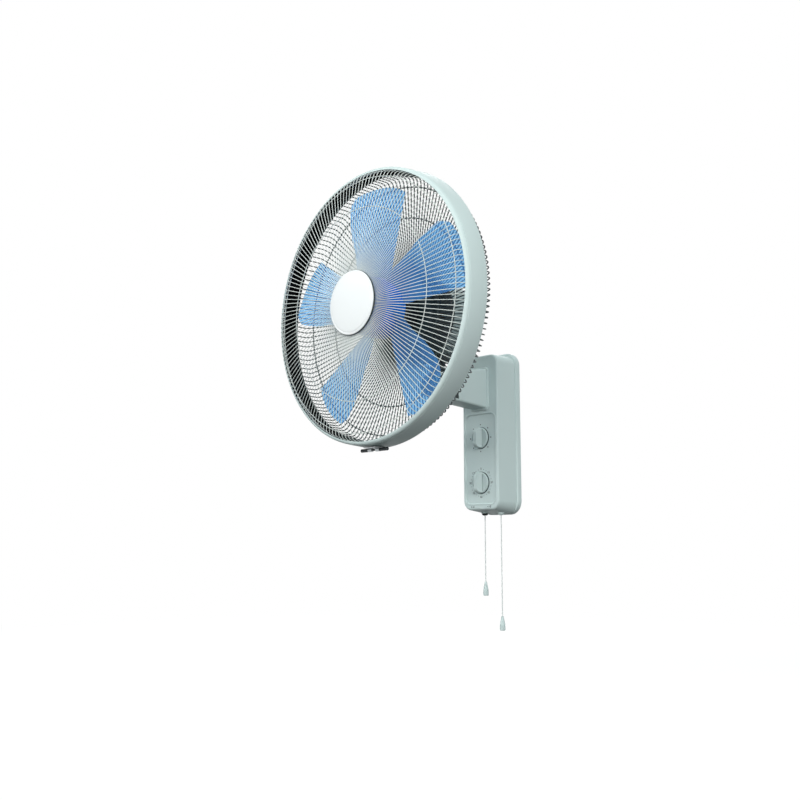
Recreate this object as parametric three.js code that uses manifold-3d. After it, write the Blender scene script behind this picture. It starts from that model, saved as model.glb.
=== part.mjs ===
// Wall mounted fan: a wall unit with a bracket arm, a tilting neck, a swinging head with a
// wire cage inside a plastic band, and a five blade propeller. Millimetres, +Z up, the wall is
// the plane Y = 0 and the fan looks along -Y. The origin is the middle of the wall plate's back.
import * as THREE from 'three';
import { mergeVertices } from 'three/addons/utils/BufferGeometryUtils.js';
import Module from 'manifold-3d';

const wasm = await Module();
wasm.setup();

// Clearances.
const SEAT_GAP = 0.3;
const RUN_GAP = 0.3;

// Wall plate and the control housing in front of it.
const PLATE_WIDTH = 87;
const PLATE_TOP = 138.5;
const PLATE_BOTTOM = -146.3;
const PLATE_DEPTH = 10;
const PLATE_CORNER = 24;
const PLATE_EDGE = 2.5;
const HOUSING_WIDTH = 81;
const HOUSING_TOP = 131;
const HOUSING_BOTTOM = -138.5;
const UNDERSIDE_FALL = 6.5;
const HOUSING_DEPTH = 57.7;
const HOUSING_CORNER = 16;
const HOUSING_EDGE = 3;
const HOUSING_WALL = 2.8;
const HOUSING_FACE = 4.4;
const PANEL_MARGIN = 6.5;
const PANEL_TOP = 27;
const PANEL_LIFT = 10.5;
const PANEL_RECESS = 1.5;
const PANEL_CORNER = 10;
const KEYHOLE_RADIUS = 4.5;
const KEYHOLE_SLOT = 2.4;
const KEYHOLE_RUN = 9;
const KEYHOLE_HEIGHT = 112;

// Knobs, their switches and the parts inside the housing.
const SPEED_KNOB_HEIGHT = -14.2;
const TIMER_KNOB_HEIGHT = -92.2;
const KNOB_RADIUS = 18.4;
const KNOB_SKIRT = 4;
const KNOB_GRIP_WIDTH = 11;
const KNOB_GRIP_REACH = 11.5;
const SPINDLE_RADIUS = 3;
const SPINDLE_LENGTH = 14;
const SWITCH_WIDTH = 36;
const SWITCH_DEPTH = 20;
const TIMER_WIDTH = 44;
const TIMER_DEPTH = 17;
const TERMINAL_WIDTH = 40;
const TERMINAL_DEPTH = 15;
const TERMINAL_HEIGHT = 18;
const TERMINAL_LEVEL = -52;
const CAPACITOR_RADIUS = 9;
const CAPACITOR_LENGTH = 38;
const CAPACITOR_SIDE = 24;
const CAPACITOR_LEVEL = -12;

// Pull cords under the housing.
const PULL_SIDE = 18.5;
const PULL_DEPTH = 26;
const PULL_SWITCH_WIDTH = 17;
const PULL_SWITCH_DEPTH = 23;
const PULL_SWITCH_TOP = -98;
const PULL_SWITCH_HEIGHT = 22;
const PULL_ROD_RADIUS = 1.6;
const PULL_ROD_TOP = -105;
const PULL_ROD_LENGTH = 16;
const CORD_RADIUS = 1;
const GROMMET_RADIUS = 5.5;
const GROMMET_NECK = 4.2;
const GROMMET_DROP = 3.2;
const PAD_MARGIN = 1;
const GROMMET_SIDES = 16;
const BELL_RADIUS = 4.7;
const BELL_NECK = 1.9;
const BELL_LENGTH = 24;
const LEFT_BELL_TOP = -262;
const RIGHT_BELL_TOP = -319;
const CORD_SIDES = 8;

// Arm between the wall unit and the neck.
const ARM_WIDTH = 38;
const ARM_ROOT_TOP = 106;
const ARM_ROOT_BOTTOM = 36;
const ARM_TOP_FALL = 0.157;
const ARM_BOTTOM_RISE = 0.078;
const ARM_COLLAR = 3;
const ARM_CHANNEL_WIDTH = 27;
const ARM_WALL = 4;
const TENON_WIDTH = 32;
const TENON_INSET = 3;
const EAR_RADIUS = 20.5;
const EAR_SHOULDER = 21;
const EAR_RAMP = 6;
const EAR_STEPS = 14;
const FORK_SLOT = 16;

// Height of the fan's axis. The tilting neck, its bolt and the swing post hang below it.
const FAN_HEIGHT = 178;
const TILT_DEPTH = 163;
const TILT_DROP = 110;
const TONGUE_RADIUS = 18;
const TONGUE_STEM = 24;
const TURRET_RISE = 25;
const TURRET_THICKNESS = 3;
const TURRET_RADIUS = 14;
const POST_RADIUS = 6.5;
const POST_SHOULDER = 7.4;
const POST_RISE = 44;
const BOLT_RADIUS = 4;
const BOLT_HEAD_RADIUS = 7.5;
const BOLT_HEAD = 4;
const TILT_KNOB_RADIUS = 14;
const TILT_KNOB_DEPTH = 10;

// Swing drive: a pod on the head turns a crank, and a link ties the crank to the neck.
const DRIVE_REACH = 42;
const DRIVE_RADIUS = 21;
const LINK_OFFSET = 16;
const LINK_LENGTH = 43.85;
const LINK_ANGLE = -81.8;
const LINK_WIDTH = 6;
const LINK_THICKNESS = 2.2;
const LINK_PIN_RADIUS = 2;
const CRANK_RADIUS = 13;
const CRANK_THICKNESS = 3;
const CRANK_SHAFT_RADIUS = 2.5;
const CRANK_SHAFT_LENGTH = 7;

// Head: depths from the wall.
const MOTOR_FRONT = 234.2;
const MOTOR_SPLIT = 190;
const MOTOR_BACK = 112;
const MOTOR_FRONT_RADIUS = 66;
const MOTOR_RADIUS = 64;
const MOTOR_WALL = 2.5;
const MOTOR_VENTS = 8;
const VENT_WIDTH = 4;
const COLLAR_RADIUS = 18;
const COLLAR_LENGTH = 12;
const BUSH_RADIUS = 9;
const BUSH_LENGTH = 10;
const SHAFT_RADIUS = 4;
const STATOR_FRONT = 208;
const STATOR_LENGTH = 26;
const ROTOR_CORE_RADIUS = 33;
const AIR_GAP = 0.6;
const BRACKET_RISE = 38;
const BRACKET_WIDTH = 44;
const BRACKET_LENGTH = 38;
const BRACKET_BOSS = 12.5;

// Band, which narrows towards the front, and the liner inside it.
const BAND_RADIUS = 225;
const BAND_TAPER = 2.8;
const BAND_WALL = 2.7;
const BAND_BACK = 289;
const BAND_FRONT = 322.4;
const LIP_REACH = 5.6;
const LIP_TURN = 5.4;
const BAND_EDGE = 1;
const LINER_WALL = 2.6;
const LINER_INSET = 2;

// Wire cage. Each half runs from its rim over a bend and two rings to its hub.
const WIRE_COUNT = 40;
const WIRE_WIDTH = 2.2;
const WIRE_THICKNESS = 2.2;
const RIM_WIDTH = 4;
const RING_WIDTH = 2.6;
const RING_RISE = 0.6;
const FRONT_RIM = 309;
const BEND_INSET = 1.6;
const FRONT_BEND = 328.2;
const FRONT_OUTER_RING = 206;
const FRONT_OUTER_DEPTH = 335.4;
const FRONT_INNER_RING = 158.5;
const FRONT_INNER_DEPTH = 344.6;
const FRONT_HUB = 351;
const FRONT_HUB_RADIUS = 50;
const FRONT_HUB_BORE = 30;
const REAR_RIM = 300;
const REAR_BEND = 276.5;
const REAR_OUTER_RING = 203;
const REAR_OUTER_DEPTH = 268;
const REAR_INNER_RING = 151;
const REAR_INNER_DEPTH = 255.2;
const REAR_HUB_RADIUS = 36;
const REAR_HUB_BORE = 24;
const NUT_RADIUS = 32;
const NUT_LENGTH = 8;
const MEDALLION_RADIUS = 52;
const MEDALLION_EDGE = 4;
const MEDALLION_CROWN = 3;
const CLASP_WIDTH = 26;
const CLASP_LENGTH = 22;
const CLASP_WALL = 1;
const CLASP_REACH = 17;
const CLASP_SCREW_RADIUS = 1.6;
const CLASP_SLEEVE_RADIUS = 2.8;

// Propeller.
const BLADES = 5;
const BLADE_TIP = 199;
const BLADE_THICKNESS = 2.4;
const BLADE_ROOT_BACK = 286;
const BLADE_ROOT_FRONT = 308;
const BLADE_TIP_BACK = 292;
const BLADE_TIP_FRONT = 312;
const BLADE_CAMBER = 4;
const BLADE_PHASE = 0.8;
const HUB_RADIUS = 48;
const HUB_WALL = 3;
const HUB_BACK = 283;
const HUB_FRONT = 322;
const HUB_BOSS_BACK = 272;
const SPINNER_RADIUS = 11;
const SPINNER_LENGTH = 10;

// Facets round the large and the small turned pieces.
const FINE = 60;
const CASE_SIDES = 36;
const MEDIUM = 24;
const COARSE = 12;

const turn = (degrees) => THREE.MathUtils.degToRad(degrees);

// Closed solid from a geometry: shared corners are merged and flat slivers on an axis dropped.
function solid(geometry) {
  const bare = geometry.clone();
  bare.deleteAttribute('normal');
  bare.deleteAttribute('uv');
  const merged = mergeVertices(bare, 1e-4);
  const index = merged.index.array;
  const corners = [];
  for (let i = 0; i < index.length; i += 3) {
    const [a, b, c] = [index[i], index[i + 1], index[i + 2]];
    if (a !== b && b !== c && c !== a) corners.push(a, b, c);
  }
  const mesh = new wasm.Mesh({
    numProp: 3,
    vertProperties: new Float32Array(merged.attributes.position.array),
    triVerts: new Uint32Array(corners),
  });
  return new wasm.Manifold(mesh);
}

// Geometry from a solid, with flat shading normals.
function surface(body) {
  const mesh = body.getMesh();
  const geometry = new THREE.BufferGeometry();
  geometry.setAttribute('position', new THREE.BufferAttribute(new Float32Array(mesh.vertProperties), 3));
  geometry.setIndex(new THREE.BufferAttribute(new Uint32Array(mesh.triVerts), 1));
  geometry.computeVertexNormals();
  return geometry;
}

// Box between two corners, each given as [x, y, z].
function block(low, high) {
  const size = high.map((value, i) => value - low[i]);
  const geometry = new THREE.BoxGeometry(...size);
  geometry.translate(low[0] + size[0] / 2, low[1] + size[1] / 2, low[2] + size[2] / 2);
  return solid(geometry);
}

// Round bar from one point to another.
function rod(from, to, radius, sides = COARSE, endRadius = radius) {
  const start = new THREE.Vector3(...from);
  const way = new THREE.Vector3(...to).sub(start);
  const geometry = new THREE.CylinderGeometry(endRadius, radius, way.length(), sides);
  geometry.translate(0, way.length() / 2, 0);
  const up = new THREE.Vector3(0, 1, 0);
  geometry.applyQuaternion(new THREE.Quaternion().setFromUnitVectors(up, way.clone().normalize()));
  geometry.translate(start.x, start.y, start.z);
  return solid(geometry);
}

// Turned piece about the Y axis from [radius, depth] points, where depth is measured from the wall.
function turned(profile, sides = FINE) {
  const points = profile.map(([radius, depth]) => new THREE.Vector2(radius, -depth));
  if (THREE.ShapeUtils.area(points) < 0) points.reverse();
  points.push(points[0].clone());
  return solid(new THREE.LatheGeometry(points, sides));
}

// Turned piece about the Z axis from [radius, height] points.
function spun(profile, sides = COARSE) {
  const points = profile.map(([radius, height]) => new THREE.Vector2(radius, height));
  if (THREE.ShapeUtils.area(points) < 0) points.reverse();
  points.push(points[0].clone());
  const geometry = new THREE.LatheGeometry(points, sides);
  geometry.rotateX(Math.PI / 2);
  return solid(geometry);
}

// Rectangle with round corners, from its left, right, low and high edges.
function roundedRectangle(left, right, low, high, radius) {
  const shape = new THREE.Shape();
  shape.moveTo(left + radius, low);
  shape.lineTo(right - radius, low);
  shape.absarc(right - radius, low + radius, radius, -Math.PI / 2, 0);
  shape.lineTo(right, high - radius);
  shape.absarc(right - radius, high - radius, radius, 0, Math.PI / 2);
  shape.lineTo(left + radius, high);
  shape.absarc(left + radius, high - radius, radius, Math.PI / 2, Math.PI);
  shape.lineTo(left, low + radius);
  shape.absarc(left + radius, low + radius, radius, Math.PI, Math.PI * 1.5);
  return shape;
}

// Slab whose outline lies in XZ, from one depth to a larger one, with its front edge rounded.
function slab(shape, backDepth, frontDepth, edge = 0) {
  const geometry = new THREE.ExtrudeGeometry(shape, {
    depth: frontDepth - backDepth - edge,
    bevelEnabled: edge > 0,
    bevelThickness: edge,
    bevelSize: edge,
    bevelOffset: -edge,
    bevelSegments: 2,
    curveSegments: 4,
  });
  geometry.rotateX(Math.PI / 2);
  geometry.translate(0, -backDepth, 0);
  const whole = solid(geometry);
  if (edge === 0) return whole;
  const span = 1000;
  return whole.intersect(block([-span, -frontDepth - 1, -span], [span, -backDepth, span]));
}

// Slab whose outline lies in depth and height, across the object from -half to +half.
function crossSlab(points, half) {
  const shape = new THREE.Shape(points.map(([depth, height]) => new THREE.Vector2(-depth, height)));
  const geometry = new THREE.ExtrudeGeometry(shape, { depth: 2 * half, bevelEnabled: false });
  const frame = new THREE.Matrix4().makeBasis(
    new THREE.Vector3(0, 1, 0),
    new THREE.Vector3(0, 0, 1),
    new THREE.Vector3(1, 0, 0),
  );
  geometry.applyMatrix4(frame);
  geometry.translate(-half, 0, 0);
  return solid(geometry);
}

// Copies of a cutter round the Y axis.
function aroundAxis(make, count, phase = 0) {
  let all = null;
  for (let i = 0; i < count; i += 1) {
    const geometry = surface(make());
    geometry.rotateY(turn(phase + (360 * i) / count));
    const copy = solid(geometry);
    all = all ? all.add(copy) : copy;
  }
  return all;
}

// Closed solid from corners and faces, turned outside out if its volume comes out negative.
function closedMesh(corners, faces) {
  let volume = 0;
  const [a, b, c] = [new THREE.Vector3(), new THREE.Vector3(), new THREE.Vector3()];
  faces.forEach(([i, j, k]) => {
    volume += a.fromArray(corners[i]).dot(b.fromArray(corners[j]).cross(c.fromArray(corners[k])));
  });
  const order = volume < 0 ? faces.map(([i, j, k]) => [i, k, j]) : faces;
  const geometry = new THREE.BufferGeometry();
  geometry.setAttribute('position', new THREE.Float32BufferAttribute(corners.flat(), 3));
  geometry.setIndex(order.flat());
  return solid(geometry);
}

// Cage of radial wires joined by rings. The profile lists [radius, depth, ring] points from the
// rim to the hub, and ring is true where the band up to the next point runs all the way round.
function cage(profile) {
  const corners = [];
  const faces = [];
  const last = profile.length - 1;
  const normals = profile.map((point, j) => {
    const before = profile[Math.max(j - 1, 0)];
    const after = profile[Math.min(j + 1, last)];
    const way = new THREE.Vector2(after[0] - before[0], after[1] - before[1]).normalize();
    return [way.y, -way.x];
  });
  const corner = (wire, side, j, layer) => (((wire % WIRE_COUNT) * 2 + side) * (last + 1) + j) * 2 + layer;
  for (let wire = 0; wire < WIRE_COUNT; wire += 1) {
    const angle = (2 * Math.PI * wire) / WIRE_COUNT;
    for (const side of [-1, 1]) {
      profile.forEach(([radius, depth], j) => {
        for (const layer of [-1, 1]) {
          const reach = radius + (normals[j][0] * layer * WIRE_THICKNESS) / 2;
          const level = depth + (normals[j][1] * layer * WIRE_THICKNESS) / 2;
          const offset = (side * WIRE_WIDTH) / 2;
          corners.push([
            reach * Math.cos(angle) - offset * Math.sin(angle),
            -level,
            reach * Math.sin(angle) + offset * Math.cos(angle),
          ]);
        }
      });
    }
  }
  const quad = (a, b, c, d) => faces.push([a, b, c], [a, c, d]);
  for (let wire = 0; wire < WIRE_COUNT; wire += 1) {
    for (let j = 0; j < last; j += 1) {
      for (const [near, nearSide, far, farSide, filled] of [
        [wire, 0, wire, 1, true],
        [wire, 1, wire + 1, 0, profile[j][2]],
      ]) {
        const [a0, a1] = [corner(near, nearSide, j, 0), corner(near, nearSide, j, 1)];
        const [b0, b1] = [corner(near, nearSide, j + 1, 0), corner(near, nearSide, j + 1, 1)];
        const [c0, c1] = [corner(far, farSide, j + 1, 0), corner(far, farSide, j + 1, 1)];
        const [d0, d1] = [corner(far, farSide, j, 0), corner(far, farSide, j, 1)];
        if (filled) {
          quad(a1, b1, c1, d1);
          quad(a0, d0, c0, b0);
          const gapBefore = j === 0 || (nearSide === 1 && !profile[j - 1][2]);
          const gapAfter = j === last - 1 || (nearSide === 1 && !profile[j + 1][2]);
          if (gapBefore) quad(a0, a1, d1, d0);
          if (gapAfter) quad(b0, c0, c1, b1);
        } else {
          quad(a0, a1, b1, b0);
          quad(d0, c0, c1, d1);
        }
      }
    }
  }
  return closedMesh(corners, faces);
}

// Value between listed [key, value] stations.
function between(stations, key) {
  const i = Math.max(stations.findIndex(([at]) => at >= key), 1);
  const [[k0, v0], [k1, v1]] = [stations[i - 1], stations[i]];
  return THREE.MathUtils.lerp(v0, v1, THREE.MathUtils.clamp((key - k0) / (k1 - k0), 0, 1));
}

// One propeller blade: a thin, twisted sheet with a rounded tip, from the hub's wall outwards.
function blade() {
  const stations = 5;
  const chords = 6;
  const root = HUB_RADIUS - HUB_WALL / 2;
  const frontEdge = [[0, 53.5], [0.08, 52], [0.35, 42.5], [0.53, 40.3], [0.68, 38.2], [1, 33.5]];
  const tipShort = [[0, 9.5], [0.12, 5.5], [0.3, 1.2], [0.5, 0], [0.75, 0.8], [0.9, 3], [1, 17]];
  const corners = [];
  for (let i = 0; i <= stations; i += 1) {
    for (let j = 0; j <= chords; j += 1) {
      const across = j / chords;
      const tip = BLADE_TIP - between(tipShort, across);
      const radius = THREE.MathUtils.lerp(root, tip, i / stations);
      const span = (radius - root) / (BLADE_TIP - root);
      const angle = turn(BLADE_PHASE + between(frontEdge, span) * across);
      const bow = BLADE_CAMBER * Math.sin(Math.PI * across);
      const backDepth = THREE.MathUtils.lerp(BLADE_ROOT_BACK, BLADE_TIP_BACK, span);
      const frontDepth = THREE.MathUtils.lerp(BLADE_ROOT_FRONT, BLADE_TIP_FRONT, span);
      const depth = THREE.MathUtils.lerp(backDepth, frontDepth, across) - bow;
      for (const layer of [-0.5, 0.5]) {
        const level = depth + layer * BLADE_THICKNESS;
        corners.push([radius * Math.cos(angle), -level, radius * Math.sin(angle)]);
      }
    }
  }
  const corner = (i, j, layer) => (i * (chords + 1) + j) * 2 + layer;
  const faces = [];
  const quad = (a, b, c, d) => faces.push([a, b, c], [a, c, d]);
  for (let i = 0; i < stations; i += 1) {
    for (let j = 0; j < chords; j += 1) {
      quad(corner(i, j, 1), corner(i + 1, j, 1), corner(i + 1, j + 1, 1), corner(i, j + 1, 1));
      quad(corner(i, j, 0), corner(i, j + 1, 0), corner(i + 1, j + 1, 0), corner(i + 1, j, 0));
    }
    quad(corner(i, 0, 0), corner(i + 1, 0, 0), corner(i + 1, 0, 1), corner(i, 0, 1));
    quad(corner(i, chords, 0), corner(i, chords, 1), corner(i + 1, chords, 1), corner(i + 1, chords, 0));
  }
  const tip = stations;
  for (let j = 0; j < chords; j += 1) {
    quad(corner(0, j, 0), corner(0, j, 1), corner(0, j + 1, 1), corner(0, j + 1, 0));
    quad(corner(tip, j, 0), corner(tip, j + 1, 0), corner(tip, j + 1, 1), corner(tip, j, 1));
  }
  return closedMesh(corners, faces);
}

// Finishes.
const finish = (color, roughness, metalness = 0) => ({ color, roughness, metalness });
const PALE = finish(0xc9d3d1, 0.42);
const PALE_KNOB = finish(0xb9c4c3, 0.4);
const WHITE = finish(0xf2f3f2, 0.25);
const WIRE = finish(0xdcdfda, 0.35, 0.1);
const REAR_WIRE = finish(0x7b8787, 0.4, 0.1);
const BLUE = finish(0x5d93d2, 0.2);
const CHARCOAL = finish(0x3b4042, 0.5);
const BLACK = finish(0x17191a, 0.6);
const STEEL = finish(0xa9adb0, 0.35, 0.9);
const COPPER = finish(0xa8632f, 0.4, 0.8);
const INSIDE = finish(0x6e7679, 0.6);
const CORD = finish(0xe4e8e6, 0.8);

const object = new THREE.Group();
const fan = new THREE.Group();
fan.position.set(0, 0, FAN_HEIGHT);
object.add(fan);

function place(name, body, look, parent = object) {
  const mesh = new THREE.Mesh(surface(body), new THREE.MeshStandardMaterial(look));
  mesh.name = name;
  parent.add(mesh);
}

// Wall plate: a shallow tray with a solid back and two keyholes for wall screws.
const halfPlate = PLATE_WIDTH / 2;
const plateOutline = roundedRectangle(-halfPlate, halfPlate, PLATE_BOTTOM, PLATE_TOP, PLATE_CORNER);
let wallPlate = slab(plateOutline, 0, PLATE_DEPTH, PLATE_EDGE);
for (const height of [-KEYHOLE_HEIGHT, KEYHOLE_HEIGHT - KEYHOLE_RUN]) {
  const through = PLATE_DEPTH + 1;
  const head = rod([0, 1, height], [0, -through, height], KEYHOLE_RADIUS);
  const slot = block([-KEYHOLE_SLOT, -through, height], [KEYHOLE_SLOT, 1, height + KEYHOLE_RUN]);
  wallPlate = wallPlate.subtract(head).subtract(slot);
}
place('wall_plate', wallPlate, PALE);

// Control housing: a hollow cover with a recessed front panel, open towards the wall. Its underside
// falls towards the wall, with a flat pad round each pull cord's hole.
const seatDepth = PLATE_DEPTH + SEAT_GAP;
const halfHousing = HOUSING_WIDTH / 2;
const fallRate = UNDERSIDE_FALL / (HOUSING_DEPTH - seatDepth);
const fallAt = (depth) => fallRate * (HOUSING_DEPTH - depth);
function withSlope(body, low, corner) {
  return body.warp((point) => {
    const share = THREE.MathUtils.clamp((low + corner - point[2]) / corner, 0, 1);
    point[2] -= fallAt(-point[1]) * share;
  });
}
const undersideAtCords = HOUSING_BOTTOM - fallAt(PULL_DEPTH);
const padRadius = GROMMET_RADIUS + PAD_MARGIN;
const padLevel = undersideAtCords - fallRate * padRadius - SEAT_GAP;
const housingOutline = roundedRectangle(
  -halfHousing, halfHousing, HOUSING_BOTTOM, HOUSING_TOP, HOUSING_CORNER,
);
const hollowLow = HOUSING_BOTTOM + HOUSING_WALL;
const hollowOutline = roundedRectangle(
  -halfHousing + HOUSING_WALL,
  halfHousing - HOUSING_WALL,
  hollowLow,
  HOUSING_TOP - HOUSING_WALL,
  HOUSING_CORNER - HOUSING_WALL,
);
const panelOutline = roundedRectangle(
  -halfHousing + PANEL_MARGIN,
  halfHousing - PANEL_MARGIN,
  HOUSING_BOTTOM + PANEL_LIFT,
  PANEL_TOP,
  PANEL_CORNER,
);
const insideFace = HOUSING_DEPTH - HOUSING_FACE;
const panelFace = HOUSING_DEPTH - PANEL_RECESS;
const halfTenon = TENON_WIDTH / 2;
const tenonLow = ARM_ROOT_BOTTOM + TENON_INSET;
const tenonHigh = ARM_ROOT_TOP - TENON_INSET;
const spindleHole = SPINDLE_RADIUS + RUN_GAP;
const hollow = slab(hollowOutline, seatDepth - 1, insideFace);
const cover = slab(housingOutline, seatDepth, HOUSING_DEPTH, HOUSING_EDGE);
let housing = withSlope(cover, HOUSING_BOTTOM, HOUSING_CORNER)
  .subtract(withSlope(hollow, hollowLow, HOUSING_CORNER - HOUSING_WALL))
  .subtract(slab(panelOutline, panelFace, HOUSING_DEPTH + 1))
  .subtract(block(
    [-halfTenon - SEAT_GAP, -HOUSING_DEPTH - 1, tenonLow - SEAT_GAP],
    [halfTenon + SEAT_GAP, -insideFace + 1, tenonHigh + SEAT_GAP],
  ));
for (const height of [SPEED_KNOB_HEIGHT, TIMER_KNOB_HEIGHT]) {
  const start = [0, -insideFace + 1, height];
  housing = housing.subtract(rod(start, [0, -HOUSING_DEPTH - 1, height], spindleHole));
}
for (const side of [-PULL_SIDE, PULL_SIDE]) {
  const at = (height) => [side, -PULL_DEPTH, height];
  const inside = undersideAtCords + HOUSING_WALL;
  housing = housing
    .add(rod(at(padLevel), at(undersideAtCords + 1), padRadius, GROMMET_SIDES))
    .subtract(rod(at(padLevel - 1), at(inside + 2), GROMMET_NECK + SEAT_GAP, GROMMET_SIDES));
}
place('base_housing', housing, PALE);

// A control knob: round skirt, bar grip and a spindle through the panel into its switch.
const knobBack = panelFace + SEAT_GAP;
const knobFace = knobBack + KNOB_SKIRT;
const knobFront = knobFace + KNOB_GRIP_REACH;
function knob(height) {
  const skirt = rod([0, -knobBack, height], [0, -knobFace, height], KNOB_RADIUS, MEDIUM, KNOB_RADIUS - 0.8);
  const round = rod([0, -knobBack, height], [0, -knobFront, height], KNOB_RADIUS - 1.2, MEDIUM);
  const half = KNOB_GRIP_WIDTH / 2;
  const bar = block(
    [-half, -knobFront, height - KNOB_RADIUS],
    [half, -knobFace + 1, height + KNOB_RADIUS],
  );
  const spindleEnd = knobBack - SPINDLE_LENGTH;
  const spindle = rod([0, -knobBack - 1, height], [0, -spindleEnd, height], SPINDLE_RADIUS);
  return skirt.add(bar.intersect(round)).add(spindle);
}
place('speed_knob', knob(SPEED_KNOB_HEIGHT), PALE_KNOB);
place('timer_knob', knob(TIMER_KNOB_HEIGHT), PALE_KNOB);

// A switch behind a knob, held against the inside of the front face.
function knobSwitch(height, width, depth) {
  const half = width / 2;
  const front = insideFace - SEAT_GAP;
  const body = block([-half, -front, height - half], [half, -front + depth, height + half]);
  const boreEnd = knobBack - SPINDLE_LENGTH - SEAT_GAP;
  return body.subtract(rod([0, -front - 1, height], [0, -boreEnd, height], SPINDLE_RADIUS + RUN_GAP));
}
place('speed_switch', knobSwitch(SPEED_KNOB_HEIGHT, SWITCH_WIDTH, SWITCH_DEPTH), INSIDE);
place('timer_unit', knobSwitch(TIMER_KNOB_HEIGHT, TIMER_WIDTH, TIMER_DEPTH), INSIDE);

// Terminal block and motor capacitor on the wall plate.
const halfTerminal = TERMINAL_WIDTH / 2;
place('terminal_block', block(
  [-halfTerminal, -seatDepth - TERMINAL_DEPTH, TERMINAL_LEVEL - TERMINAL_HEIGHT / 2],
  [halfTerminal, -seatDepth, TERMINAL_LEVEL + TERMINAL_HEIGHT / 2],
), INSIDE);
const capacitorDepth = seatDepth + CAPACITOR_RADIUS;
place('capacitor', rod(
  [-CAPACITOR_SIDE, -capacitorDepth, CAPACITOR_LEVEL],
  [-CAPACITOR_SIDE, -capacitorDepth, CAPACITOR_LEVEL + CAPACITOR_LENGTH],
  CAPACITOR_RADIUS,
), BLACK);

// Pull switches, their rods, the cords and the bell grips, left and right.
const rodBottom = PULL_ROD_TOP - PULL_ROD_LENGTH;
const switchBottom = PULL_SWITCH_TOP - PULL_SWITCH_HEIGHT;
const grommetTop = undersideAtCords + HOUSING_WALL + fallRate * GROMMET_NECK + SEAT_GAP;
const grommetSeat = padLevel - SEAT_GAP;
const grommetBottom = grommetSeat - GROMMET_DROP;
const cordBore = CORD_RADIUS + RUN_GAP;
for (const [label, side, bellTop] of [
  ['left', -PULL_SIDE, LEFT_BELL_TOP],
  ['right', PULL_SIDE, RIGHT_BELL_TOP],
]) {
  const at = (height) => [side, -PULL_DEPTH, height];
  const shifted = (body) => {
    const geometry = surface(body);
    geometry.translate(side, -PULL_DEPTH, 0);
    return solid(geometry);
  };
  const half = PULL_SWITCH_WIDTH / 2;
  const pullSwitch = block(
    [side - half, -seatDepth - PULL_SWITCH_DEPTH, switchBottom],
    [side + half, -seatDepth, PULL_SWITCH_TOP],
  ).subtract(rod(at(switchBottom - 1), at(PULL_ROD_TOP + SEAT_GAP), PULL_ROD_RADIUS + RUN_GAP));
  place(`pull_switch_${label}`, pullSwitch, INSIDE);
  place(`pull_rod_${label}`, rod(at(rodBottom), at(PULL_ROD_TOP), PULL_ROD_RADIUS), WHITE);
  place(`grommet_${label}`, shifted(spun([
    [cordBore, grommetTop],
    [GROMMET_NECK, grommetTop],
    [GROMMET_NECK, grommetSeat],
    [GROMMET_RADIUS, grommetSeat],
    [GROMMET_RADIUS - 0.8, grommetBottom],
    [cordBore, grommetBottom],
  ], GROMMET_SIDES)), CHARCOAL);
  const route = new THREE.LineCurve3(
    new THREE.Vector3(...at(rodBottom - SEAT_GAP)),
    new THREE.Vector3(...at(bellTop + SEAT_GAP)),
  );
  const section = new THREE.Shape();
  for (let i = 0; i < CORD_SIDES; i += 1) {
    const angle = turn((360 * (i + 0.5)) / CORD_SIDES);
    const point = [CORD_RADIUS * Math.cos(angle), CORD_RADIUS * Math.sin(angle)];
    if (i === 0) section.moveTo(...point);
    else section.lineTo(...point);
  }
  const steps = Math.round(route.getLength() / (6 * CORD_RADIUS));
  const cord = new THREE.ExtrudeGeometry(section, { extrudePath: route, steps, bevelEnabled: false });
  place(`pull_cord_${label}`, solid(cord), CORD);
  const bellBottom = bellTop - BELL_LENGTH;
  place(`pull_bell_${label}`, shifted(spun([
    [0, bellTop],
    [BELL_NECK, bellTop],
    [BELL_NECK + 0.9, bellTop - BELL_LENGTH * 0.15],
    [BELL_RADIUS - 0.7, bellTop - BELL_LENGTH * 0.48],
    [BELL_RADIUS, bellTop - BELL_LENGTH * 0.66],
    [BELL_RADIUS, bellBottom + 0.8],
    [BELL_RADIUS - 0.8, bellBottom],
    [0, bellBottom],
  ])), PALE);
}

// Arm: a tapered hollow beam with a tenon into the housing, a root collar and a forked end.
const tiltHeight = FAN_HEIGHT - TILT_DROP;
const armRoot = HOUSING_DEPTH + SEAT_GAP;
const armTopAt = (depth) => ARM_ROOT_TOP - ARM_TOP_FALL * (depth - armRoot);
const armBottomAt = (depth) => ARM_ROOT_BOTTOM + ARM_BOTTOM_RISE * (depth - armRoot);
const earTop = tiltHeight + EAR_RADIUS;
const earBottom = tiltHeight - EAR_RADIUS;
const shoulder = TILT_DEPTH - EAR_SHOULDER;
const ramp = shoulder - EAR_RAMP;
const earArc = [];
for (let i = 0; i <= EAR_STEPS; i += 1) {
  const angle = turn(-90 + (180 * i) / EAR_STEPS);
  earArc.push([TILT_DEPTH + EAR_RADIUS * Math.cos(angle), tiltHeight + EAR_RADIUS * Math.sin(angle)]);
}
const armOutline = [
  [armRoot, ARM_ROOT_BOTTOM],
  [shoulder, armBottomAt(shoulder)],
  ...earArc,
  [shoulder, earTop],
  [ramp, armTopAt(ramp)],
  [armRoot, ARM_ROOT_TOP],
];
const halfArm = ARM_WIDTH / 2;
const channelEnd = ramp - ARM_WALL;
const halfChannel = ARM_CHANNEL_WIDTH / 2;
const channelOutline = [
  [seatDepth - 1, tenonLow + ARM_WALL],
  [armRoot, tenonLow + ARM_WALL],
  [channelEnd, armBottomAt(channelEnd) + ARM_WALL],
  [channelEnd, armTopAt(channelEnd) - ARM_WALL],
  [armRoot, tenonHigh - ARM_WALL],
  [seatDepth - 1, tenonHigh - ARM_WALL],
];
const boltBore = BOLT_RADIUS + RUN_GAP;
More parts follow.
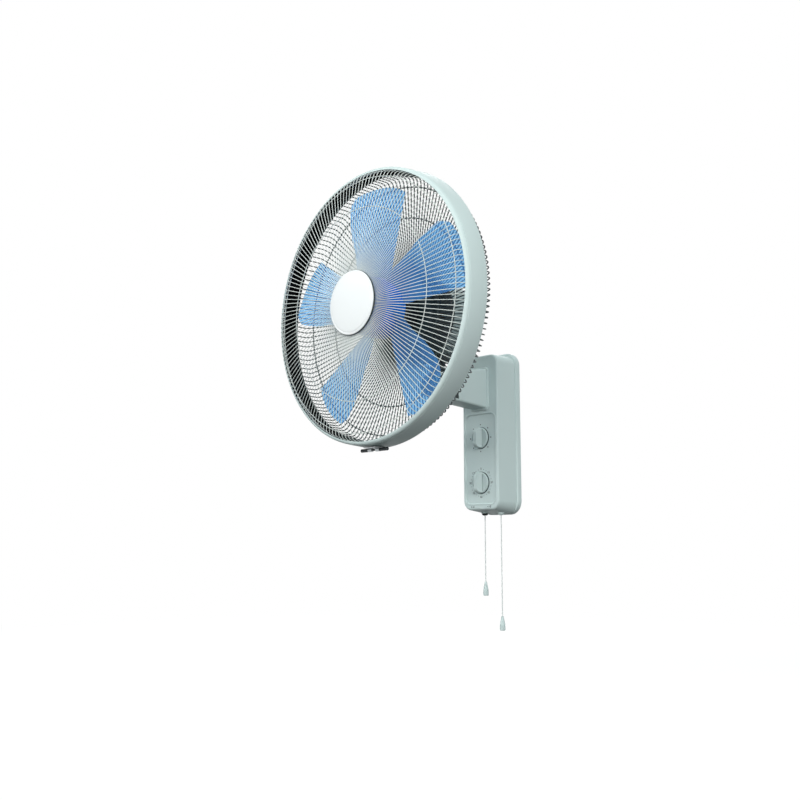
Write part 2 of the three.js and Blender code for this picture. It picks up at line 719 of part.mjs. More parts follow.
const axle = (x, radius, far, sides = COARSE) => rod(
  [x, -TILT_DEPTH, tiltHeight], [far, -TILT_DEPTH, tiltHeight], radius, sides,
);
const arm = crossSlab(armOutline, halfArm)
  .add(block(
    [-halfArm - ARM_COLLAR, -armRoot - ARM_COLLAR, ARM_ROOT_BOTTOM - ARM_COLLAR],
    [halfArm + ARM_COLLAR, -armRoot, ARM_ROOT_TOP + ARM_COLLAR],
  ))
  .add(block([-halfTenon, -armRoot - 1, tenonLow], [halfTenon, -seatDepth, tenonHigh]))
  .subtract(crossSlab(channelOutline, halfChannel))
  .subtract(block(
    [-FORK_SLOT / 2, -TILT_DEPTH - EAR_RADIUS - 1, earBottom - 10],
    [FORK_SLOT / 2, -shoulder, earTop + 10],
  ))
  .subtract(axle(-halfArm - 1, boltBore, halfArm + 1));
place('arm', arm, PALE);

// Tilt bolt through the fork, with a fluted clamping knob on its far end.
const headSeat = halfArm + SEAT_GAP;
const boltEnd = -headSeat - TILT_KNOB_DEPTH + 1;
const tiltBolt = axle(boltEnd, BOLT_RADIUS, headSeat + 1)
  .add(axle(headSeat, BOLT_HEAD_RADIUS, headSeat + BOLT_HEAD, 6));
place('tilt_bolt', tiltBolt, STEEL);
let tiltKnob = axle(-headSeat - TILT_KNOB_DEPTH, TILT_KNOB_RADIUS, -headSeat)
  .subtract(axle(boltEnd - SEAT_GAP, boltBore, -headSeat + 1));
for (let i = 0; i < 6; i += 1) {
  const angle = turn(60 * i);
  const y = -TILT_DEPTH + (TILT_KNOB_RADIUS + 1.5) * Math.cos(angle);
  const z = tiltHeight + (TILT_KNOB_RADIUS + 1.5) * Math.sin(angle);
  tiltKnob = tiltKnob.subtract(rod([-headSeat - TILT_KNOB_DEPTH - 1, y, z], [-headSeat + 1, y, z], 4, 12));
}
place('tilt_knob', tiltKnob, CHARCOAL);

// Neck: a tongue in the fork, a turret above it, the swing post and the link's pin.
const turretLevel = tiltHeight + TURRET_RISE;
const turretTop = turretLevel + TURRET_THICKNESS;
const linkBottom = turretTop + SEAT_GAP;
const linkTop = linkBottom + LINK_THICKNESS;
const bossBottom = linkTop + 2 * SEAT_GAP + 0.5;
const upright = (x, depth, low, high, radius, sides = COARSE) => rod(
  [x, -depth, low], [x, -depth, high], radius, sides,
);
const tongueHalf = FORK_SLOT / 2 - SEAT_GAP;
const neck = axle(-tongueHalf, TONGUE_RADIUS, tongueHalf, MEDIUM)
  .add(block(
    [-tongueHalf, -TILT_DEPTH - TONGUE_STEM / 2, tiltHeight],
    [tongueHalf, -TILT_DEPTH + TONGUE_STEM / 2, turretLevel + 1],
  ))
  .add(upright(0, TILT_DEPTH, turretLevel, turretTop, TURRET_RADIUS, MEDIUM))
  .add(block(
    [-LINK_OFFSET, -TILT_DEPTH - LINK_WIDTH / 2, turretLevel],
    [0, -TILT_DEPTH + LINK_WIDTH / 2, turretTop],
  ))
  .add(upright(-LINK_OFFSET, TILT_DEPTH, turretLevel, turretTop, LINK_WIDTH / 2 + 1))
  .add(upright(-LINK_OFFSET, TILT_DEPTH, turretTop - 1, linkTop, LINK_PIN_RADIUS))
  .add(upright(0, TILT_DEPTH, turretTop - 1, bossBottom - SEAT_GAP, POST_SHOULDER, MEDIUM))
  .add(upright(0, TILT_DEPTH, turretTop, tiltHeight + POST_RISE, POST_RADIUS, MEDIUM))
  .subtract(axle(-tongueHalf - 1, boltBore, tongueHalf + 1));
place('neck', neck, CHARCOAL);

// Link from the neck's pin towards the crank pin, whose end stays just above it.
const linkWay = new THREE.Vector2(Math.cos(turn(LINK_ANGLE)), Math.sin(turn(LINK_ANGLE)));
const linkFar = [-LINK_OFFSET + LINK_LENGTH * linkWay.x, -TILT_DEPTH + LINK_LENGTH * linkWay.y];
const barGeometry = new THREE.BoxGeometry(LINK_LENGTH, LINK_WIDTH, LINK_THICKNESS);
barGeometry.translate(LINK_LENGTH / 2, 0, (linkBottom + linkTop) / 2);
barGeometry.rotateZ(turn(LINK_ANGLE));
barGeometry.translate(-LINK_OFFSET, -TILT_DEPTH, 0);
const link = solid(barGeometry)
  .add(rod([...linkFar, linkBottom], [...linkFar, linkTop], LINK_WIDTH / 2 + 1))
  .add(upright(-LINK_OFFSET, TILT_DEPTH, linkBottom, linkTop, LINK_WIDTH / 2 + 1))
  .subtract(upright(-LINK_OFFSET, TILT_DEPTH, linkBottom - 1, linkTop + 1, LINK_PIN_RADIUS + RUN_GAP));
place('swing_link', link, STEEL);

// Crank under the drive pod.
const driveDepth = TILT_DEPTH + DRIVE_REACH;
const crankBottom = linkTop + SEAT_GAP + 1.2;
const crankTop = crankBottom + CRANK_THICKNESS;
const podBottom = crankTop + SEAT_GAP;
const shaftTop = crankTop + CRANK_SHAFT_LENGTH;
const crank = upright(0, driveDepth, crankBottom, crankTop, CRANK_RADIUS)
  .add(rod([...linkFar, linkTop + SEAT_GAP], [...linkFar, crankTop], LINK_PIN_RADIUS))
  .add(upright(0, driveDepth, crankTop - 1, shaftTop, CRANK_SHAFT_RADIUS));
place('swing_crank', crank, STEEL);

// Drive pod and swing bracket, both seated against the underside of the motor's case.
const caseHollow = solid(surface(turned([
  [0, MOTOR_FRONT + 1],
  [MOTOR_FRONT_RADIUS + SEAT_GAP, MOTOR_FRONT + 1],
  [MOTOR_FRONT_RADIUS + SEAT_GAP, MOTOR_SPLIT - SEAT_GAP],
  [MOTOR_RADIUS + SEAT_GAP, MOTOR_SPLIT - SEAT_GAP],
  [MOTOR_RADIUS + SEAT_GAP, MOTOR_BACK],
  [0, MOTOR_BACK],
])).translate(0, 0, FAN_HEIGHT));
const podTop = FAN_HEIGHT - MOTOR_RADIUS + 4;
const pod = upright(0, driveDepth, podBottom, podTop, DRIVE_RADIUS, MEDIUM)
  .subtract(caseHollow)
  .subtract(upright(0, driveDepth, podBottom - 1, shaftTop + SEAT_GAP, CRANK_SHAFT_RADIUS + RUN_GAP));
place('swing_drive', pod, CHARCOAL);
const halfBracket = BRACKET_WIDTH / 2;
const bracketLevel = tiltHeight + BRACKET_RISE;
const bracket = block(
  [-halfBracket, -TILT_DEPTH - BRACKET_LENGTH / 2 + 4, bracketLevel],
  [halfBracket, -TILT_DEPTH + BRACKET_LENGTH / 2, FAN_HEIGHT - MOTOR_RADIUS + 9],
)
  .add(upright(0, TILT_DEPTH, bossBottom, bracketLevel + 1, BRACKET_BOSS, MEDIUM))
  .subtract(caseHollow)
  .subtract(upright(0, TILT_DEPTH, bossBottom - 1, FAN_HEIGHT, POST_RADIUS + RUN_GAP, MEDIUM));
place('swing_bracket', bracket, CHARCOAL);

// Motor case: a front bell with the collar for the cage, and a domed rear bell with vents.
const bushSeat = BUSH_RADIUS + SEAT_GAP;
const bossRadius = bushSeat + MOTOR_WALL;
const frontFloor = MOTOR_FRONT - MOTOR_WALL;
const shaftHole = SHAFT_RADIUS + RUN_GAP;
const frontBell = turned([
  [shaftHole, MOTOR_FRONT + COLLAR_LENGTH],
  [COLLAR_RADIUS, MOTOR_FRONT + COLLAR_LENGTH],
  [COLLAR_RADIUS, MOTOR_FRONT],
  [MOTOR_FRONT_RADIUS - 3, MOTOR_FRONT],
  [MOTOR_FRONT_RADIUS, MOTOR_FRONT - 3],
  [MOTOR_FRONT_RADIUS, MOTOR_SPLIT],
  [MOTOR_FRONT_RADIUS - MOTOR_WALL, MOTOR_SPLIT],
  [MOTOR_FRONT_RADIUS - MOTOR_WALL, frontFloor],
  [bossRadius, frontFloor],
  [bossRadius, frontFloor - BUSH_LENGTH + MOTOR_WALL],
  [bushSeat, frontFloor - BUSH_LENGTH + MOTOR_WALL],
  [bushSeat, frontFloor + MOTOR_WALL / 2],
  [shaftHole, frontFloor + MOTOR_WALL / 2],
], CASE_SIDES);
const frontVents = aroundAxis(() => block(
  [MOTOR_FRONT_RADIUS * 0.64, -MOTOR_FRONT - 1, -VENT_WIDTH / 2],
  [MOTOR_FRONT_RADIUS * 0.88, -frontFloor + 1, VENT_WIDTH / 2],
), MOTOR_VENTS);
place('motor_front', frontBell.subtract(frontVents), CHARCOAL, fan);
const rearStart = MOTOR_SPLIT - SEAT_GAP;
const rearFloor = MOTOR_BACK + MOTOR_WALL;
const domeStart = MOTOR_BACK + 26;
const rearBell = turned([
  [MOTOR_RADIUS, rearStart],
  [MOTOR_RADIUS, domeStart],
  [MOTOR_RADIUS * 0.93, MOTOR_BACK + 13],
  [MOTOR_RADIUS * 0.76, MOTOR_BACK + 4],
  [MOTOR_RADIUS * 0.52, MOTOR_BACK],
  [0, MOTOR_BACK],
  [0, rearFloor],
  [bushSeat, rearFloor],
  [bushSeat, rearFloor + BUSH_LENGTH],
  [bossRadius, rearFloor + BUSH_LENGTH],
  [bossRadius, rearFloor],
  [MOTOR_RADIUS * 0.52, rearFloor],
  [MOTOR_RADIUS * 0.76 - 1, MOTOR_BACK + 4 + MOTOR_WALL],
  [MOTOR_RADIUS * 0.93 - 2, MOTOR_BACK + 13 + MOTOR_WALL],
  [MOTOR_RADIUS - MOTOR_WALL, domeStart + 1],
  [MOTOR_RADIUS - MOTOR_WALL, rearStart],
], CASE_SIDES);
const rearVents = aroundAxis(() => block(
  [MOTOR_RADIUS * 0.56, -rearFloor - 14, -VENT_WIDTH / 2],
  [MOTOR_RADIUS * 0.86, -MOTOR_BACK + 1, VENT_WIDTH / 2],
), MOTOR_VENTS);
place('motor_rear', rearBell.subtract(rearVents), PALE, fan);

// Bushes, stator, rotor core and shaft inside the case.
const tube = (outer, inner, back, front, sides) => turned(
  [[inner, back], [outer, back], [outer, front], [inner, front]], sides,
);
const frontBushFront = frontFloor + MOTOR_WALL / 2 - SEAT_GAP;
const frontBushBack = frontBushFront - BUSH_LENGTH + 2;
place('bush_front', tube(BUSH_RADIUS, shaftHole, frontBushBack, frontBushFront, COARSE), COPPER, fan);
const rearBushBack = rearFloor + SEAT_GAP;
const rearBushFront = rearBushBack + BUSH_LENGTH - 1;
place('bush_rear', tube(BUSH_RADIUS, shaftHole, rearBushBack, rearBushFront, COARSE), COPPER, fan);
const statorBack = STATOR_FRONT - STATOR_LENGTH;
const statorInner = ROTOR_CORE_RADIUS + AIR_GAP;
const statorOuter = MOTOR_RADIUS - MOTOR_WALL - SEAT_GAP;
place('stator', tube(statorOuter, statorInner, statorBack, STATOR_FRONT, MEDIUM), COPPER, fan);
place('rotor_core', tube(
  ROTOR_CORE_RADIUS, SHAFT_RADIUS + SEAT_GAP, statorBack + 2, STATOR_FRONT - 2, MEDIUM,
), STEEL, fan);
const spinnerFront = HUB_FRONT + SEAT_GAP + SPINNER_LENGTH;
place('fan_shaft', rod(
  [0, -rearFloor - SEAT_GAP - 1, 0], [0, -spinnerFront + 3, 0], SHAFT_RADIUS,
), STEEL, fan);

// Propeller: a cup shaped hub with five broad blades, and the nut that holds it on the shaft.
const hubBore = SHAFT_RADIUS + SEAT_GAP;
let propeller = turned([
  [hubBore, HUB_FRONT],
  [HUB_RADIUS - 3, HUB_FRONT],
  [HUB_RADIUS, HUB_FRONT - 4],
  [HUB_RADIUS, HUB_BACK],
  [HUB_RADIUS - HUB_WALL, HUB_BACK],
  [HUB_RADIUS - HUB_WALL, HUB_FRONT - 6],
  [SPINNER_RADIUS, HUB_FRONT - 6],
  [SPINNER_RADIUS, HUB_BOSS_BACK],
  [hubBore, HUB_BOSS_BACK],
], MEDIUM);
for (let i = 0; i < BLADES; i += 1) {
  const geometry = surface(blade());
  geometry.rotateY(turn((-360 * i) / BLADES));
  propeller = propeller.add(solid(geometry));
}
place('propeller', propeller, BLUE, fan);
place('spinner', turned([
  [hubBore, HUB_FRONT + SEAT_GAP],
  [SPINNER_RADIUS, HUB_FRONT + SEAT_GAP],
  [SPINNER_RADIUS, spinnerFront - 3],
  [SPINNER_RADIUS - 3, spinnerFront],
  [0, spinnerFront],
  [0, spinnerFront - 2.5],
  [hubBore, spinnerFront - 2.5],
], COARSE), BLUE, fan);

// Band round the cage with a turned-in front lip, and the dark liner inside it.
const bandAt = (depth) => BAND_RADIUS - (BAND_TAPER * (depth - BAND_BACK)) / (BAND_FRONT - BAND_BACK);
const bandFrontRadius = bandAt(BAND_FRONT);
const lipFront = BAND_FRONT + LIP_REACH;
const lipRadius = bandFrontRadius - LIP_TURN;
const lipBack = lipFront - LIP_REACH * 0.6;
place('guard_ring', turned([
  [BAND_RADIUS - BAND_EDGE, BAND_BACK],
  [bandAt(BAND_BACK + BAND_EDGE), BAND_BACK + BAND_EDGE],
  [bandFrontRadius, BAND_FRONT],
  [bandFrontRadius - LIP_TURN * 0.3, BAND_FRONT + LIP_REACH * 0.65],
  [bandFrontRadius - LIP_TURN * 0.75, lipFront],
  [lipRadius, lipFront],
  [bandAt(lipBack) - BAND_WALL, lipBack],
  [BAND_RADIUS - BAND_WALL, BAND_BACK],
]), PALE, fan);
const linerBack = BAND_BACK + LINER_INSET;
const linerFront = lipBack - SEAT_GAP;
const linerOuterAt = (depth) => bandAt(depth) - BAND_WALL - SEAT_GAP;
place('ring_liner', turned([
  [linerOuterAt(linerBack) - LINER_WALL, linerBack],
  [linerOuterAt(linerBack), linerBack],
  [linerOuterAt(linerFront), linerFront],
  [linerOuterAt(linerFront) - LINER_WALL, linerFront],
]), BLACK, fan);

// Wire cage in two halves whose rims seat inside the liner.
const flatOfFacet = Math.cos(Math.PI / FINE);
const seatAt = (depth) => (linerOuterAt(depth) - LINER_WALL) * flatOfFacet - SEAT_GAP;
const frontRimRadius = seatAt(FRONT_RIM + RIM_WIDTH) - WIRE_THICKNESS / 2;
const rearRimRadius = seatAt(REAR_RIM + RIM_WIDTH) - WIRE_THICKNESS / 2;
place('front_guard', cage([
  [frontRimRadius, FRONT_RIM, true],
  [frontRimRadius, FRONT_RIM + RIM_WIDTH, false],
  [frontRimRadius - BEND_INSET, FRONT_BEND, false],
  [FRONT_OUTER_RING, FRONT_OUTER_DEPTH, true],
  [FRONT_OUTER_RING - RING_WIDTH, FRONT_OUTER_DEPTH + RING_RISE, false],
  [FRONT_INNER_RING, FRONT_INNER_DEPTH, true],
  [FRONT_INNER_RING - RING_WIDTH, FRONT_INNER_DEPTH + RING_RISE, false],
  [FRONT_HUB_RADIUS, FRONT_HUB, true],
  [FRONT_HUB_BORE, FRONT_HUB, true],
]), WIRE, fan);
const rearPlate = MOTOR_FRONT + SEAT_GAP + WIRE_THICKNESS / 2;
place('rear_guard', cage([
  [rearRimRadius, REAR_RIM + RIM_WIDTH, true],
  [rearRimRadius, REAR_RIM, false],
  [rearRimRadius - BEND_INSET, REAR_BEND, false],
  [REAR_OUTER_RING, REAR_OUTER_DEPTH, true],
  [REAR_OUTER_RING - RING_WIDTH, REAR_OUTER_DEPTH - RING_RISE, false],
  [REAR_INNER_RING, REAR_INNER_DEPTH, true],
  [REAR_INNER_RING - RING_WIDTH, REAR_INNER_DEPTH - RING_RISE, false],
  [MOTOR_FRONT_RADIUS, rearPlate + RING_RISE, false],
  [REAR_HUB_RADIUS, rearPlate, true],
  [REAR_HUB_BORE, rearPlate, true],
]), REAR_WIRE, fan);
const nutBack = rearPlate + WIRE_THICKNESS / 2 + SEAT_GAP;
const nutBore = COLLAR_RADIUS + SEAT_GAP;
place('guard_nut', tube(NUT_RADIUS, nutBore, nutBack, nutBack + NUT_LENGTH, MEDIUM), CHARCOAL, fan);

// Round badge plate in front of the cage's hub, left plain.
const badgeBack = FRONT_HUB + WIRE_THICKNESS / 2 + SEAT_GAP;
const badgeEdge = badgeBack + MEDALLION_EDGE;
place('medallion', turned([
  [0, badgeBack],
  [MEDALLION_RADIUS - 0.8, badgeBack],
  [MEDALLION_RADIUS, badgeBack + 1],
  [MEDALLION_RADIUS, badgeEdge - 1],
  [MEDALLION_RADIUS - 1.4, badgeEdge],
  [MEDALLION_RADIUS * 0.6, badgeEdge + MEDALLION_CROWN * 0.7],
  [0, badgeEdge + MEDALLION_CROWN],
], CASE_SIDES), WHITE, fan);

// Clasp under the band: a saddle, and a long screw along X with a sleeve nut on its far end.
const claspMiddle = (BAND_BACK + BAND_FRONT) / 2;
const claspBack = claspMiddle - CLASP_LENGTH / 2;
const claspFront = claspMiddle + CLASP_LENGTH / 2;
const bandSeat = BAND_RADIUS + SEAT_GAP;
const claspLevel = -bandSeat - CLASP_SLEEVE_RADIUS - SEAT_GAP;
const claspHalf = CLASP_WIDTH / 2;
const along = (from, to, radius, sides = COARSE) => rod(
  [from, -claspMiddle, claspLevel], [to, -claspMiddle, claspLevel], radius, sides,
);
const screwBore = CLASP_SCREW_RADIUS + SEAT_GAP;
const clasp = block(
  [-claspHalf, -claspFront, claspLevel - screwBore - CLASP_WALL],
  [claspHalf, -claspBack, -bandSeat + 3],
)
  .subtract(turned([
    [0, claspBack - 1],
    [bandAt(claspBack - 1) + SEAT_GAP, claspBack - 1],
    [bandAt(claspFront + 1) + SEAT_GAP, claspFront + 1],
    [0, claspFront + 1],
  ]))
  .subtract(along(-claspHalf - 1, claspHalf + 1, screwBore));
place('ring_clasp', clasp, PALE, fan);
const screwEnd = claspHalf + CLASP_REACH;
const headEnd = -claspHalf - SEAT_GAP;
const screw = along(-screwEnd, screwEnd - 1, CLASP_SCREW_RADIUS)
  .add(along(headEnd - CLASP_REACH, headEnd, CLASP_SLEEVE_RADIUS, 8));
place('clasp_screw', screw, BLACK, fan);
const sleeve = along(claspHalf + SEAT_GAP, screwEnd + 1, CLASP_SLEEVE_RADIUS)
  .subtract(along(claspHalf, screwEnd + 2, screwBore));
place('clasp_sleeve', sleeve, BLACK, fan);

export default object;
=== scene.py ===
"""Wall mounted fan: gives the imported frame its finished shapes, its materials and a studio.

Lengths are in metres. The wall is the plane Y = 0, the fan looks along -Y and +Z is up. A depth is
a distance in front of the wall, so it is a Y coordinate with its sign turned round.
"""

from __future__ import annotations

import logging
import math
from dataclasses import dataclass
from enum import Enum
from typing import Sequence, Union

import bmesh
import bpy
from mathutils import Matrix, Vector


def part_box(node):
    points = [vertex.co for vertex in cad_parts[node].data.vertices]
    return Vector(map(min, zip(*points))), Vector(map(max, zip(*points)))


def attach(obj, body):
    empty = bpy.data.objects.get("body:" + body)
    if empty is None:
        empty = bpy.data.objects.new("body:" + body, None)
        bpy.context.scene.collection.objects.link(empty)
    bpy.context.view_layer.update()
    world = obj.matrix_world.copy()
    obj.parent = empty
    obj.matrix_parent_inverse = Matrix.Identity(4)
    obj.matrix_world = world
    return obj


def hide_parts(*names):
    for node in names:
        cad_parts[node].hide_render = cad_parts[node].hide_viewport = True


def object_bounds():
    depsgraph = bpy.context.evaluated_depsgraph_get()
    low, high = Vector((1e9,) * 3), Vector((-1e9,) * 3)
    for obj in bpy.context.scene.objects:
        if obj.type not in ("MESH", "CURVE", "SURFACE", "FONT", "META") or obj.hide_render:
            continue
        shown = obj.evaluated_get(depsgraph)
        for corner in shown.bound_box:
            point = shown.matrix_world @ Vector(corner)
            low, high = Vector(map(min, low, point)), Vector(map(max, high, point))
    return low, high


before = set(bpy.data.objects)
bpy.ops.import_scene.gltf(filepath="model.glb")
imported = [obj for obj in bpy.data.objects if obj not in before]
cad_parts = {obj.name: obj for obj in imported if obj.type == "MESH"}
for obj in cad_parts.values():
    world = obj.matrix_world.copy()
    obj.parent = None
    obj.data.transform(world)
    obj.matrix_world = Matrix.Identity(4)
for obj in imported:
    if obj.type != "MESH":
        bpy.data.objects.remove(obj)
CAD_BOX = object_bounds()
LOG = logging.getLogger("wall_fan")
WELD = 1e-6  # points closer than this are one
PROUD = 0.00008  # how far prints stand off their face

Profile = Sequence[tuple[float, float]]
Colour = tuple[float, float, float]
Openings = dict[int, tuple[int, Sequence[int]]]


class Box:
    """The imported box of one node, with its middle, its depths and half its width."""

    def __init__(self, node: str) -> None:
        """Read the box from the frame."""
        self.low, self.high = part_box(node)
        self.middle = (self.low + self.high) / 2
        self.back, self.front = -self.high.y, -self.low.y
        self.radius = (self.high.x - self.low.x) / 2


RING = Box("guard_ring")
AXIS = Vector((0, 0, RING.middle.z))


def linear(code: str) -> Colour:
    """Turn a six digit colour code into linear light.

    Args:
        code: Red, green and blue as two hexadecimal digits each.

    Returns:
        The colour in linear light.
    """
    parts = [int(code[i : i + 2], 16) / 255 for i in (0, 2, 4)]
    return tuple(p / 12.92 if p <= 0.04045 else ((p + 0.055) / 1.055) ** 2.4 for p in parts)


class Body(Enum):
    """The bodies that pieces ride on."""

    WALL_UNIT = "wall_unit"
    HEAD = "head"
    ROTOR = "rotor"
    SPEED_KNOB = "speed_knob"
    TIMER_KNOB = "timer_knob"
    PULL_LEFT = "pull_left"
    PULL_RIGHT = "pull_right"


# Shader maths


class Link:
    """An output socket that takes part in Python expressions."""

    def __init__(self, graph: Graph, node: bpy.types.Node, output: int | str = 0) -> None:
        """Wrap one output of a graph's node."""
        self.graph, self.node, self.output = graph, node, output

    def beside(self, output: int | str) -> Link:
        """Return another output of the same node."""
        return Link(self.graph, self.node, output)

    def _maths(self, operation: str, first: Input, second: Input) -> Link:
        """Join two values with a Math node."""
        return self.graph.node("ShaderNodeMath", {"operation": operation}, {0: first, 1: second})

    def __add__(self, other: Input) -> Link:
        """Add a number or link."""
        return self._maths("ADD", self, other)

    def __radd__(self, other: Input) -> Link:
        """Add this to a number."""
        return self._maths("ADD", other, self)

    def __sub__(self, other: Input) -> Link:
        """Take a number or link away."""
        return self._maths("SUBTRACT", self, other)

    def __rsub__(self, other: Input) -> Link:
        """Take this away from a number."""
        return self._maths("SUBTRACT", other, self)

    def __mul__(self, other: Input) -> Link:
        """Multiply by a number or link."""
        return self._maths("MULTIPLY", self, other)

    def __rmul__(self, other: Input) -> Link:
        """Multiply a number by this."""
        return self._maths("MULTIPLY", other, self)

    def __pow__(self, other: Input) -> Link:
        """Raise to a power."""
        return self._maths("POWER", self, other)


Input = Union[Link, float, Sequence[float]]


class Graph:
    """The node tree of one material or world."""

    def __init__(self, tree: bpy.types.NodeTree) -> None:
        """Start from an empty tree."""
        self.tree = tree
        tree.nodes.clear()

    def node(
        self,
        kind: str,
        settings: dict[str, object] | None = None,
        inputs: dict[int | str, Input] | None = None,
        output: int | str = 0,
    ) -> Link:
        """Add one node.

        Args:
            kind: The node's type.
            settings: Properties to set first. "stops" holds a ramp's (place, shade) pairs.
            inputs: Values or links, by the socket's name or index.
            output: The output to hand back, by name or index.

        Returns:
            The chosen output.
        """
        made = self.tree.nodes.new(kind)
        for key, value in (settings or {}).items():
            if key == "stops":
                self._stops(made.color_ramp.elements, value)
            else:
                setattr(made, key, value)
        for key, value in (inputs or {}).items():
            if isinstance(value, Link):
                self.tree.links.new(value.node.outputs[value.output], made.inputs[key])
            else:
                made.inputs[key].default_value = value
        return Link(self, made, output)

    @staticmethod
    def _stops(elements: bpy.types.ColorRampElements, stops: Profile) -> None:
        """Write a ramp's stops."""
        while len(elements) < len(stops):
            elements.new(1.0)
        for element, (place, shade) in zip(elements, stops):
            element.position = place
            element.color = (shade, shade, shade, 1)

    def place(self) -> Link:
        """Return the coordinates that ride with the piece, in metres."""
        return self.node("ShaderNodeTexCoord", output="Object")

    def noise(self, scale: float, detail: float = 3, rough: float = 0.5, at: Link | None = None) -> Link:
        """Add a noise texture.

        Args:
            scale: Features to the metre.
            detail: Octaves.
            rough: Strength of the finer octaves.
            at: Coordinates, or None for the piece's own.

        Returns:
            The noise from 0 to 1.
        """
        sockets = {"Vector": at or self.place(), "Scale": scale, "Detail": detail, "Roughness": rough}
        return self.node("ShaderNodeTexNoise", {}, sockets)

    def stretched(self, factors: Sequence[float]) -> Link:
        """Return the piece's coordinates, scaled along each axis."""
        return self.node("ShaderNodeVectorMath", {"operation": "MULTIPLY"}, {0: self.place(), 1: factors})

    def about_axis(self, height: float, rings: float, streaks: float) -> tuple[Link, Link]:
        """Measure the distance from the fan's axis.

        Args:
            height: How high the axis lies.
            rings: Features to the metre away from the axis.
            streaks: Features to the metre across and up.

        Returns:
            The distance, and coordinates for marks that run round the axis.
        """
        across = self.node("ShaderNodeSeparateXYZ", {}, {0: self.place()}, "X")
        up = across.beside("Z") - height
        radius = (across * across + up * up) ** 0.5
        spot = {"X": radius * rings, "Y": across * streaks, "Z": up * streaks}
        return radius, self.node("ShaderNodeCombineXYZ", {}, spot)

    def ramp(self, value: Link, stops: Profile) -> Link:
        """Return a value sent through a ramp of (place, shade) stops."""
        return self.node("ShaderNodeValToRGB", {"stops": stops}, {0: value})

    def mix(self, factor: Input, first: Input, second: Input) -> Link:
        """Return two colours mixed by a factor."""
        colours = {6: self._opaque(first), 7: self._opaque(second)}
        return self.node("ShaderNodeMix", {"data_type": "RGBA"}, {0: factor, **colours}, output=2)

    @staticmethod
    def _opaque(colour: Input) -> Input:
        """Return a colour with full alpha."""
        return colour if isinstance(colour, Link) else (*colour[:3], 1.0)

    def bump(self, height: Link, strength: float, distance: float) -> Link:
        """Return a normal bent by a height."""
        return self.node("ShaderNodeBump", {}, {"Height": height, "Strength": strength, "Distance": distance})

    def principled(self, sockets: dict[str, Input]) -> Link:
        """Return one Principled shader."""
        return self.node("ShaderNodeBsdfPrincipled", {}, sockets)

    def surface(self, shader: Link, kind: str = "Material") -> None:
        """Join a shader to the output of a material or world."""
        self.node(f"ShaderNodeOutput{kind}", {}, {"Surface": shader})


# Finishes


@dataclass(frozen=True)
class Finish:
    """A finish, made into a material the first time that a piece asks for it."""

    name: str
    colour: Colour
    roughness: float

    def toned(self, factor: float) -> Colour:
        """Return the colour, darker or lighter by a factor."""
        return tuple(min(1.0, c * factor) for c in self.colour)

    def material(self) -> bpy.types.Material:
        """Return the material, made once."""
        name = f"{self.name}_finish"
        made = bpy.data.materials.get(name)
        if made is None:
            made = bpy.data.materials.new(name)
            made.use_nodes = True
            graph = Graph(made.node_tree)
            graph.surface(self.paint(graph))
        return made

    def paint(self, graph: Graph) -> Link:
        """Return the finish's shader."""
        raise NotImplementedError


@dataclass(frozen=True)
class MouldedPlastic(Finish):
    """Injection moulded plastic: a fine spark-eroded grain, soft tone drift and paler sharp edges, partly
    rubbed and partly a painted highlight.
    """

    grain: float = 1500.0
    depth: float = 0.00005
    drift: float = 0.05
    edge_rub_and_highlight: float = 0.10
    shine: float = 0.03
    sheen_coat: float = 0.22

    def paint(self, graph: Graph) -> Link:
        """Return the finish's shader."""
        cloud = graph.noise(9, 4)
        fine = graph.noise(self.grain, 2, 0.6)
        # Sharp edges are lightened: partly rubbing, partly a painted highlight where edges catch light.
        edge = graph.node("ShaderNodeNewGeometry", output="Pointiness")
        rubbed_and_lit_edge = graph.ramp(edge, [(0.52, 0.0), (0.6, self.edge_rub_and_highlight)])
        tone = graph.mix(cloud, self.toned(1 - self.drift), self.toned(1 + self.drift))
        return graph.principled({
            "Base Color": graph.mix(rubbed_and_lit_edge, tone, tuple(0.6 * c + 0.4 for c in self.colour)),
            "Roughness": self.roughness + 0.10 * (graph.noise(60, 3) - 0.5) + 0.05 * (fine - 0.5),
            "Specular IOR Level": self.shine,
            "Coat Weight": self.sheen_coat,
            "Coat Roughness": 0.38,
            "Normal": graph.bump(fine, 0.35, self.depth),
        })


@dataclass(frozen=True)
class CoatedWire(Finish):
    """Wire with a thick, glossy powder coat that shows faint orange peel."""

    def paint(self, graph: Graph) -> Link:
        """Return the finish's shader."""
        peel = graph.noise(700, 2)
        return graph.principled({
            "Base Color": graph.mix(graph.noise(25, 3), self.toned(0.93), self.colour),
            "Roughness": self.roughness + 0.12 * (peel - 0.5),
            "Specular IOR Level": 0.5,
            "Normal": graph.bump(peel, 0.25, 0.00006),
        })


@dataclass(frozen=True)
class TintedPlastic(Finish):
    """Clear tinted plastic with flow lines round the axis and denser colour towards the hub."""

    tint: Colour = (0.6, 0.85, 1.0)
    clearness: float = 0.66
    axis_height: float = 0.0

    def paint(self, graph: Graph) -> Link:
        """Return the finish's shader."""
        radius, lines = graph.about_axis(self.axis_height, 160, 14)
        flow = graph.noise(1.0, 4, 0.6, at=lines)
        dense = graph.ramp(radius, [(0.03, 1.0), (0.12, 0.0)])
        tone = graph.mix(flow * 0.35, self.colour, self.toned(1.25))
        body = graph.principled({
            "Base Color": graph.mix(dense, tone, self.toned(0.72)),
            "Roughness": self.roughness + 0.08 * (flow - 0.5),
            "Specular IOR Level": 0.5,
            "Normal": graph.bump(flow, 0.12, 0.0002),
        })
        clear = graph.node("ShaderNodeBsdfTransparent", {}, {"Color": (*self.tint, 1.0)})
        share = self.clearness * (1 - 0.5 * dense) - 0.06 * (flow - 0.5)
        return graph.node("ShaderNodeMixShader", {}, {0: share, 1: body, 2: clear})


